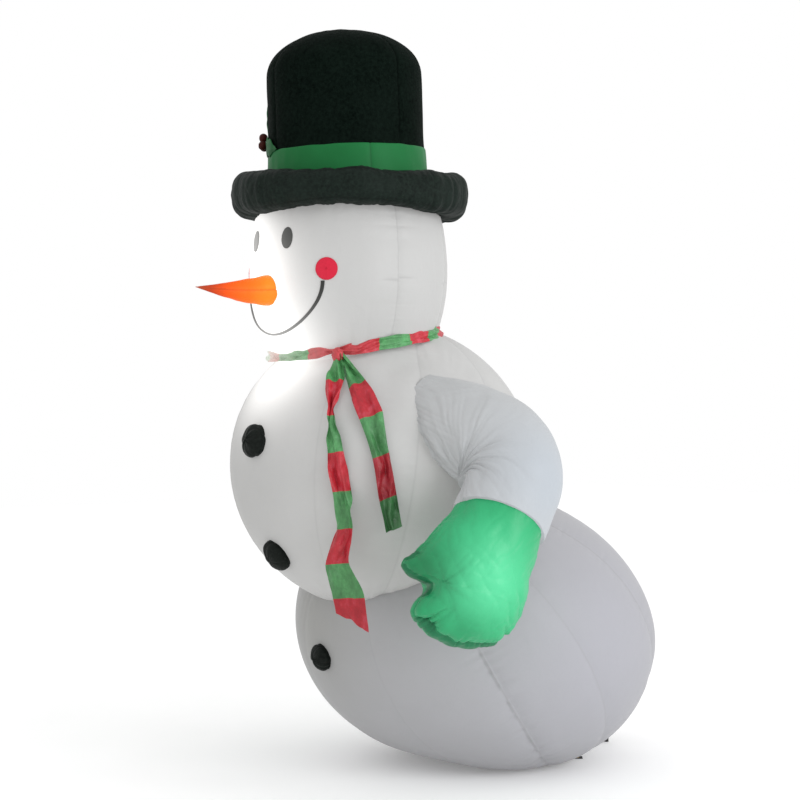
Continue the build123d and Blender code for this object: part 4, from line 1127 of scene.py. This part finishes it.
def mitten_skin(side):
    """Two panels blown up, gathered along the seam at the finger end."""
    down = unit(MITTEN_TIP - WRIST)
    thumb = np.array((-0.035, -0.135, -0.025))
    forward = unit(thumb - down * (thumb @ down))
    away = np.cross(down, forward)
    name = SIDES[side]
    piece, outline = mitten_mesh(f"mitten_{name}_skin")
    p, n = coordinates(piece.data)
    fine = np.concatenate([outline + (np.roll(outline, -1, 0) - outline) * t for t in (0, 0.5)], 1)
    fine = fine.reshape(-1, 2)
    run = distances(fine)
    tangent = unit(np.roll(fine, -1, 0) - np.roll(fine, 1, 0))
    gap = np.linalg.norm(p[:, None, [0, 2]] - fine[None], axis=-1)
    near = gap.argmin(1)
    gap, along = gap.min(1), run[near]
    facing = np.abs(tangent[near, 0]) * (p[:, 2] > 0.15)    # 1 where the edge runs level, low down
    x, y, z = p.T
    fingers = step(z, 0.24, 0.34)
    drawn = -0.030 * step(facing, 0.25, 0.85) * fade(gap, 0.10)
    off = y - drawn                     # the seam is drawn up towards the viewer at the fingers
    edge = np.hypot(np.abs(off), 0.6 * gap)
    pucker = folds(along / 0.052, 0, 131) * fade(edge, 0.070) * fingers
    relief = 0.030 * pucker
    relief += 0.012 * folds(along / 0.022, 0, 133) * fade(edge, 0.030) * (0.25 + 0.75 * fingers)
    relief -= 0.006 * fade(np.abs(off), 0.007) * step(z, 0.0, 0.05)
    relief += 0.0035 * noise(x * 13 + y * 9, z * 15, 135)
    relief += 0.0045 * folds(x * 20 + z * 12, y * 12 + z * 5, 137)
    relief += 0.0022 * folds(x * 45 - z * 22, y * 30 + z * 26, 145)
    crotch = np.hypot(x - 0.10, z - 0.235)
    ray = np.arctan2(z - 0.235, x - 0.135)
    by_thumb = fade(crotch, 0.085) * step(crotch, 0.0, 0.03)
    relief += 0.011 * folds(ray * 3.4, crotch * 4, 139) * by_thumb
    relief += 0.0045 * folds(x * 7 - 4 * z, z * 24 + x * 14, 143) * bell(z - 0.20, 0.11)
    frame_of_hand = np.stack([forward, away, down])
    in_sleeve = step((WRIST + p @ frame_of_hand - CUFF) @ unit(ELBOW - CUFF), 0.004, 0.014)
    relief = relief * (1 - in_sleeve) - 0.012 * in_sleeve + 0.002
    world = WRIST + (p + n * relief[:, None]) @ frame_of_hand
    piece.data.vertices.foreach_set("co", on_side(world, side).astype(np.float32).ravel())
    # Painted shade on the band under the drawn-up finger seam, kept in the seam attribute.
    low = step(facing, 0.25, 0.6) * step(off, -0.002, 0.006) * fade(gap, 0.05) * (y < 0.02)
    seam = np.maximum(0.8 * bell(off, 0.003) * step(z, 0.0, 0.03) * (gap < 0.05), low)
    # Painted shade in the valleys of the finger puckers.
    seam = np.maximum(seam, 0.9 * step(-pucker, 0.45, 0.85))
    store(piece.data, "seam", seam)
    face_outward(piece)
    return placed(piece, MITTEN, f"{name}_arm", "mitten_green", f"mitten_{name}")


# ---- scarf ----
def ribbon(name, centre, across, outward, flat_width, visible, twist, bands, seed, wave=1.0):
    """A strip of thin cloth along a line, gathered across its width into soft folds.

    visible is how wide it looks along the line, and the folds take up the rest of flat_width.
    bands are the distances along the strip at which its stripes change.
    """
    rows, columns = len(centre), 41
    v = np.linspace(-0.5, 0.5, columns)[None]
    s = distances(centre)[:, None]
    spare = np.clip(flat_width / visible - 1, 0, 1.4)[:, None]
    deep = visible[:, None] * np.sqrt(spare) * 0.17 * wave
    bend = 1.5 * v + 0.55 * noise(s * 7, 0, seed) + 0.25 * noise(s * 17, v * 2, seed + 1)
    depth = deep * (np.sin(2 * pi * bend) + 0.7 * folds(v * 3.1 + s * 2.5, s * 5, seed + 6))
    depth = depth + 0.0035 * noise(s * 24, v * 4, seed + 2)
    depth = depth + 0.0050 * folds(s * 15 + v * 2.2, v * 2.1 - s * 6, seed + 4)
    depth = depth + 0.0030 * folds(s * 31 - v * 3.0, v * 4 + s * 9, seed + 5)
    x = visible[:, None] * (v + 0.05 * noise(s * 12, v * 3, seed + 3))
    c, q = np.cos(twist)[:, None], np.sin(twist)[:, None]
    side, lift = x * c - depth * q, x * q + depth * c
    p = centre[:, None] + across[:, None] * side[..., None] + outward[:, None] * lift[..., None]
    piece = mesh_piece(name, p.reshape(-1, 3), grid_faces(rows, columns, False),
                       seam=np.zeros(rows * columns))
    stripe = np.interp(s[:, 0], bands, np.arange(len(bands)) + 1)[:, None]
    stripe = stripe + np.maximum(s - bands[-1], 0) / 0.1
    lay_uv(piece, np.stack([stripe + 0 * v, v * flat_width + 0 * s], -1).reshape(-1, 2))
    return piece, s[-1, 0]


def smooth_interp(x, xs, ys):
    """Rounded interpolation through stated places."""
    fine = np.linspace(min(xs), max(xs), 240)
    values = np.interp(fine, xs, ys)
    kernel = np.hanning(19)
    padded = np.concatenate([np.full(9, values[0]), values, np.full(9, values[-1])])
    values = np.convolve(padded, kernel / kernel.sum(), "valid")
    return np.interp(x, fine, values)


KNOT, KNOT_ANGLE = middle("scarf_knot"), radians(44.6)
WRAP_FLAT = 0.055
WRAP_BANDS = [-0.11, -0.01, 0.135, 0.25, 0.34, 0.44, 0.54, 0.64, 0.74, 0.84, 0.94, 1.04, 1.14, 1.25,
              1.36, 1.47, 1.575, 1.71]


def tail_line(angle, end_z):
    """From the knot over the chest to its widest line, then hanging; as in the CAD."""
    side_z = TORSO.centre[2] - 0.020
    mid = np.array((0, TORSO.centre[1], side_z))
    out = heading(np.array(radians(angle)))
    low, high = 0.1, 1.0
    for _ in range(50):
        half = (low + high) / 2
        low, high = (half, high) if TORSO.depth((mid + out * half)[None])[0] < 0 else (low, half)
    side = mid + out * low
    across = unit(np.cross(out, side - KNOT))
    away = unit(-np.cross(across, UP))
    away = away if away @ out > 0 else -away
    down = unit(np.cross(away, across))
    down = down if down[2] < 0 else -down
    a, b = unit(KNOT - TORSO.centre), unit(side - TORSO.centre)
    whole = np.arccos(np.clip(a @ b, -1, 1))
    t = np.linspace(0, 1, 90)[:, None]
    over = (a * np.sin((1 - t) * whole) + b * np.sin(t * whole)) / np.sin(whole)
    laid = TORSO.at(over, np.full(len(t), 0.016))
    laid[:12] = KNOT + (laid[11] - KNOT) * np.linspace(0, 1, 12)[:, None]
    drop = np.linspace(0, 1, 80)[1:, None] * (end_z - laid[-1][2]) / down[2]
    hung = laid[-1] + down * drop
    line = np.concatenate([laid, hung])
    run = distances(line)
    even = np.linspace(0, run[-1], 190)
    line = np.stack([np.interp(even, run, line[:, i]) for i in range(3)], -1)
    return line, np.broadcast_to(across, line.shape).copy(), even


def scarf_tail(name, body, material, seed, angle, end_z, flat_width, widths, shifts, turns, bands,
               ragged, slant):
    """A hanging end of the scarf. widths, shifts and turns are (shares of its length, values)."""
    line, across, s = tail_line(angle, end_z)
    share = s / s[-1]
    direction = np.gradient(line, axis=0)
    outward = unit(np.cross(across, direction))
    flip = np.sign((outward * (line - TORSO.centre)).sum(-1))[:, None]
    outward = outward * flip
    across = across * np.sign(across[0, 0] + 1e-9)
    line = line + across * smooth_interp(share, *shifts)[:, None]
    line = line + outward * (0.007 + 0.012 * share + 0.004 * noise(share * 5, 0, seed))[:, None]
    visible = smooth_interp(share, *widths)
    piece, length = ribbon(name, line, across, outward, flat_width, visible,
                           smooth_interp(share, *turns), bands, seed)
    p, _ = coordinates(piece.data)
    rows = len(s)
    p = p.reshape(rows, -1, 3)
    cut = ragged * noise(np.linspace(0, 4, p.shape[1]), 0, seed + 8)
    cut = cut + slant * np.linspace(-0.5, 0.5, p.shape[1])
    last = step(share, 0.90, 1.0)[:, None] * cut[None]
    p = p + unit(direction)[:, None] * last[..., None]
    piece.data.vertices.foreach_set("co", p.astype(np.float32).ravel())
    piece.data.update()
    placed(piece, material, body, "scarf_fabric", name.replace("_cloth", ""))
    return piece


def scarf_wrap():
    """The scarf round the neck: one creased strip in the hollow between head and chest."""
    angle = np.linspace(KNOT_ANGLE + 0.04, KNOT_ANGLE + 2 * pi - 0.02, 460)
    level = heading(angle)
    z = np.full(angle.shape, 1.43)
    for _ in range(60):                 # up the head until it clears the chest
        line = upright(angle, head_radius(z) + 0.009, z)
        z = z + 0.5 * (0.024 - 0.012 * level[:, 1] - TORSO.depth(line))
    smooth = np.hanning(41) / np.hanning(41).sum()
    z = np.convolve(np.concatenate([z[-20:], z, z[:20]]), smooth, "valid")
    z = z + 0.003 * noise(angle * 3, 0, 151)
    line = upright(angle, head_radius(z) + 0.010, z)
    outward = unit(level + np.array((0, 0, 0.25)))
    across = unit(np.cross(outward, np.cross(UP, level)))
    across = across * np.sign(across[:, 2:])
    visible = 0.039 + 0.005 * noise(angle * 4.5, 0, 153)
    close = np.minimum(angle - angle[0], angle[-1] - angle) * 0.28
    visible = visible * (0.55 + 0.45 * step(close, 0.0, 0.06))
    piece, length = ribbon("scarf_wrap_cloth", line, across, outward, WRAP_FLAT, visible,
                           0.25 * noise(angle * 3.5, 0, 157), WRAP_BANDS, 159, 0.8)
    placed(piece, SCARF["wrap"], "upper", "scarf_fabric", "scarf_wrap")


def scarf_knot():
    """A small flattened knot with folds running through it."""
    out = heading(np.array(KNOT_ANGLE))
    level = np.array((-out[1], out[0], 0))
    v = np.linspace(0.02, pi - 0.02, 70)[:, None]
    u = full_turn(110)
    r = 1 + 0.22 * ring_folds(u, 8, v * 1.2, 161, v * 0.8) + 0.06 * ring_noise(u, 19, v * 5, 163)
    p = lump(KNOT + (0, 0, -0.008) + out * 0.004, UP, level, out, 0.024 * r, 0.021 * r, 0.020 * r,
             v, u)
    piece = skin("scarf_knot_folds", p, True, True, seam=0 * v + 0 * u)
    face_outward(piece, 1e-6)
    along = (coordinates(piece.data)[0] - KNOT) @ level * 8 + 0.25
    lay_uv(piece, np.stack([along, 0 * along], -1))
    placed(piece, SCARF["wrap"], "upper", "scarf_fabric", "scarf_knot")


# ---- buttons ----
BUTTON_RADIUS, BUTTON_DEPTH = 0.051, 0.038


def button(node, ball, seed, crush, tall=1.0, wide=1.0, shift=0.0):
    """A stuffed round cushion with a sewn rim, drawn in by its stitches."""
    d = unit(unit(middle(node) - ball.centre) + shift * LEFT)
    point = ball.at(d)
    eps = 1e-4
    side = unit(np.cross(d, UP))
    nrm = unit(np.cross(ball.at(d + side * eps) - point,
                        ball.at(d + np.cross(side, d) * eps) - point))
    nrm = nrm if nrm @ d > 0 else -nrm
    side = unit(np.cross(nrm, UP))
    top = np.cross(side, nrm)
    v = np.linspace(0.02, pi - 0.45, 60)[:, None]
    u = full_turn(120)
    rim = bell(v - pi / 2, 0.30)
    r = 1 + crush * 0.55 * ring_folds(u, 11, v * 0.8, seed) * rim
    r = r + crush * 0.50 * folds(np.cos(u) * 2.2 + v * 1.1, np.sin(u) * 2.2, seed + 2)
    r = r + 0.03 * ring_noise(u, 5, v, seed + 4)
    p = lump(point + nrm * MM, nrm, side, top, BUTTON_DEPTH * r, BUTTON_RADIUS * wide * r,
             BUTTON_RADIUS * tall * r, v, u)
    piece = skin(node + "_cushion", p, True, True, seam=0.6 * bell(v - pi / 2 + 0.1, 0.04) + 0 * u)
    face_outward(piece, 1e-6)
    placed(piece, BUTTON_BLACK, "base" if ball is LOWER else "upper", "black_fabric", node)


# ---- fan sleeve ----
def sleeve_skin():
    """The fabric tube that the fan is strapped into, gathered under its strap."""
    low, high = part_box("blower_sleeve")
    radius, z0 = (high.x - low.x) / 2, (low.z + high.z) / 2
    y = np.linspace(low.y, high.y, 90)[:, None]
    u = full_turn(200)
    strap = middle("sleeve_strap")[1]
    loose = 1 - bell(y - strap, 0.020)
    relief = loose * (0.006 + 0.006 * ring_folds(u, 26, y * 9, 171)
                      + 0.003 * ring_noise(u, 9, y * 30, 173)) * step(high.y - y, -0.002, 0.03)
    r = radius + 0.0002 + np.clip(relief, -0.0003, 0.02)
    z = z0 + r * np.sin(u)
    p = np.stack([r * np.cos(u), y + 0 * u, np.maximum(z, 0.001)], -1)
    seam = 0.7 * bell(high.y - y, 0.006) + 0 * u
    piece = skin("fan_sleeve_skin", p, seam=seam)
    thicken(piece, MM, 1)
    placed(piece, SLEEVE_WHITE, "base", "white_fabric", "blower_sleeve")


# ---- build ----
lower_skin()
torso_skin()
head_skin()
FACE_PATCHES = [         # name, middle and spread in degrees, half width and height, look, slot
    ("eye", 2.0, 15.2, 0.0210, 0.0335, FACE_BLACK, "black_fabric"),
    ("cheek", -1.2, 43.3, 0.035, 0.035, CHEEK, "cheek_pink"),
]
for side, word in SIDES.items():
    for kind, centre, spread, wide, high, look, slot in FACE_PATCHES:
        head_patch(f"{kind}_{word}_patch", f"{kind}_{word}", radians(centre + side * spread), wide,
                   high, look, slot)
mouth_line()
nose_cone()
hat_crown_skin()
hat_band_strip()
hat_brim_skin()
holly()
for side in SIDES:
    arm_skin(side)
    mitten_skin(side)
scarf_wrap()
scarf_knot()
scarf_tail("scarf_tail_long_cloth", "long_tail", SCARF["long"], 201, angle=38.0, end_z=0.568,
           flat_width=0.095, ragged=0.010, slant=0.045, widths=
           ([0, 0.06, 0.14, 0.20, 0.235, 0.28, 0.36, 0.46, 0.55, 0.66, 0.76, 0.88, 1.0],
            [0.022, 0.048, 0.058, 0.036, 0.012, 0.030, 0.052, 0.060, 0.054, 0.066, 0.072, 0.092,
             0.100]),
           shifts=
           ([0, 0.06, 0.13, 0.25, 0.4, 0.53, 0.66, 0.79, 0.90, 1.0],
            [0.0, -0.004, -0.006, -0.012, 0.000, 0.012, 0.010, -0.028, 0.000, 0.006]),
           turns=
           ([0, 0.15, 0.3, 0.5, 0.62, 0.8, 1.0], [0.2, -0.2, 0.5, -0.25, 0.45, -0.15, 0.15]),
           bands=[-0.05, 0.098, 0.222, 0.340, 0.460, 0.574, 0.682, 0.790, 0.99])
scarf_tail("scarf_tail_short_cloth", "short_tail", SCARF["short"], 231, angle=53.5, end_z=0.856,
           flat_width=0.085, ragged=0.002, slant=0.0, widths=
           ([0, 0.06, 0.16, 0.3, 0.42, 0.6, 0.8, 1.0],
            [0.020, 0.030, 0.046, 0.074, 0.074, 0.054, 0.054, 0.052]),
           shifts=
           ([0, 0.08, 0.22, 0.42, 0.635, 0.85, 1.0],
            [0, 0.010, 0.020, 0.032, 0.016, -0.010, -0.028]),
           turns=([0, 0.3, 0.6, 1.0], [0.3, 0.1, -0.15, 0.1]),
           bands=[-0.02, 0.134, 0.258, 0.387, 0.517, 0.68])
button("button_top", TORSO, 301, 0.26, 1.22, 1.10)
button("button_middle", TORSO, 311, 0.12, 1.12, 1.0, -0.010)
button("button_bottom", LOWER, 321, 0.20, 1.0, 1.0)
sleeve_skin()

HARDWARE = {
    "blower_housing_rear blower_housing_front inlet_grille": BLACK_PLASTIC,
    "housing_screws impeller_shaft zipper_slider zipper_pull": STEEL,
    "tether_ring_left tether_ring_right": STEEL, "motor": MOTOR_PAINT, "impeller": GREY_PLASTIC,
    "blower_feet cable_gland": RUBBER, "zipper_tape": TAPE, "zipper_coil": COIL,
    "sleeve_strap tether_patch_left tether_patch_right": WEBBING,
    "stake_tab_left stake_tab_right": WEBBING, "stake_grommet_left stake_grommet_right": BRASS,
    "lamp_holder_head lamp_holder_torso lamp_holder_base": BLACK_PLASTIC,
    "lamp_tab_head lamp_tab_torso lamp_tab_base": RIBBON,
    "lamp_bulb_head lamp_bulb_torso lamp_bulb_base": bulb_glass(),
}
for nodes, material in HARDWARE.items():
    for node in nodes.split():
        paint(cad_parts[node], material)


# ---- stage, camera and light ----
FLOOR_HALF = 14.0
WORLD_LIGHT = 1.0
FILL_PLACE, FILL_AIM, FILL_ACROSS, FILL_POWER = (5.5, 0.5, 2.4), (0, -0.3, 1.2), 3.0, 120
CAMERA_PLACE, CAMERA_TILT, CAMERA_TURN = (4.618, -3.932, 1.236), radians(90), radians(52.5)
LENS, SENSOR = 78.75, 36


def stage():
    p = Paint("pale_floor")
    colour = p.ramp(p.noise(3, 3), (0.3, (0.93, 0.93, 0.93)), (0.7, (0.95, 0.95, 0.95)))
    corners = [(x * FLOOR_HALF, y * FLOOR_HALF, 0) for x, y in ((-1, -1), (1, -1), (1, 1), (-1, 1))]
    floor = mesh_piece("floor", corners, [(0, 1, 2, 3)])
    paint(floor, p.finish(colour, 0.9, Emission_Color=(1, 1, 1, 1), Emission_Strength=0.10))


def area_light(name, place, aim, across, power, colour):
    lamp = bpy.data.lights.new(name, "AREA")
    lamp.shape, lamp.size, lamp.energy, lamp.color = "DISK", across, power, colour
    thing = in_scene(name, lamp)
    thing.location = place
    thing.rotation_euler = (Vector(aim) - Vector(place)).to_track_quat("-Z", "Y").to_euler()


stage()
world = bpy.data.worlds.new("studio")
bpy.context.scene.world = world
world.use_nodes = True
background = world.node_tree.nodes["Background"].inputs
background[0].default_value, background[1].default_value = (1, 1, 1, 1), WORLD_LIGHT
area_light("fill_right", FILL_PLACE, FILL_AIM, FILL_ACROSS, FILL_POWER, (0.97, 0.98, 1.0))

lens = bpy.data.cameras.new("camera")
lens.lens, lens.sensor_width = LENS, SENSOR
camera = in_scene("camera", lens)
camera.location = CAMERA_PLACE
camera.rotation_euler = (CAMERA_TILT, 0, CAMERA_TURN)
bpy.context.scene.camera = camera
bpy.context.scene.view_settings.view_transform = "Standard"
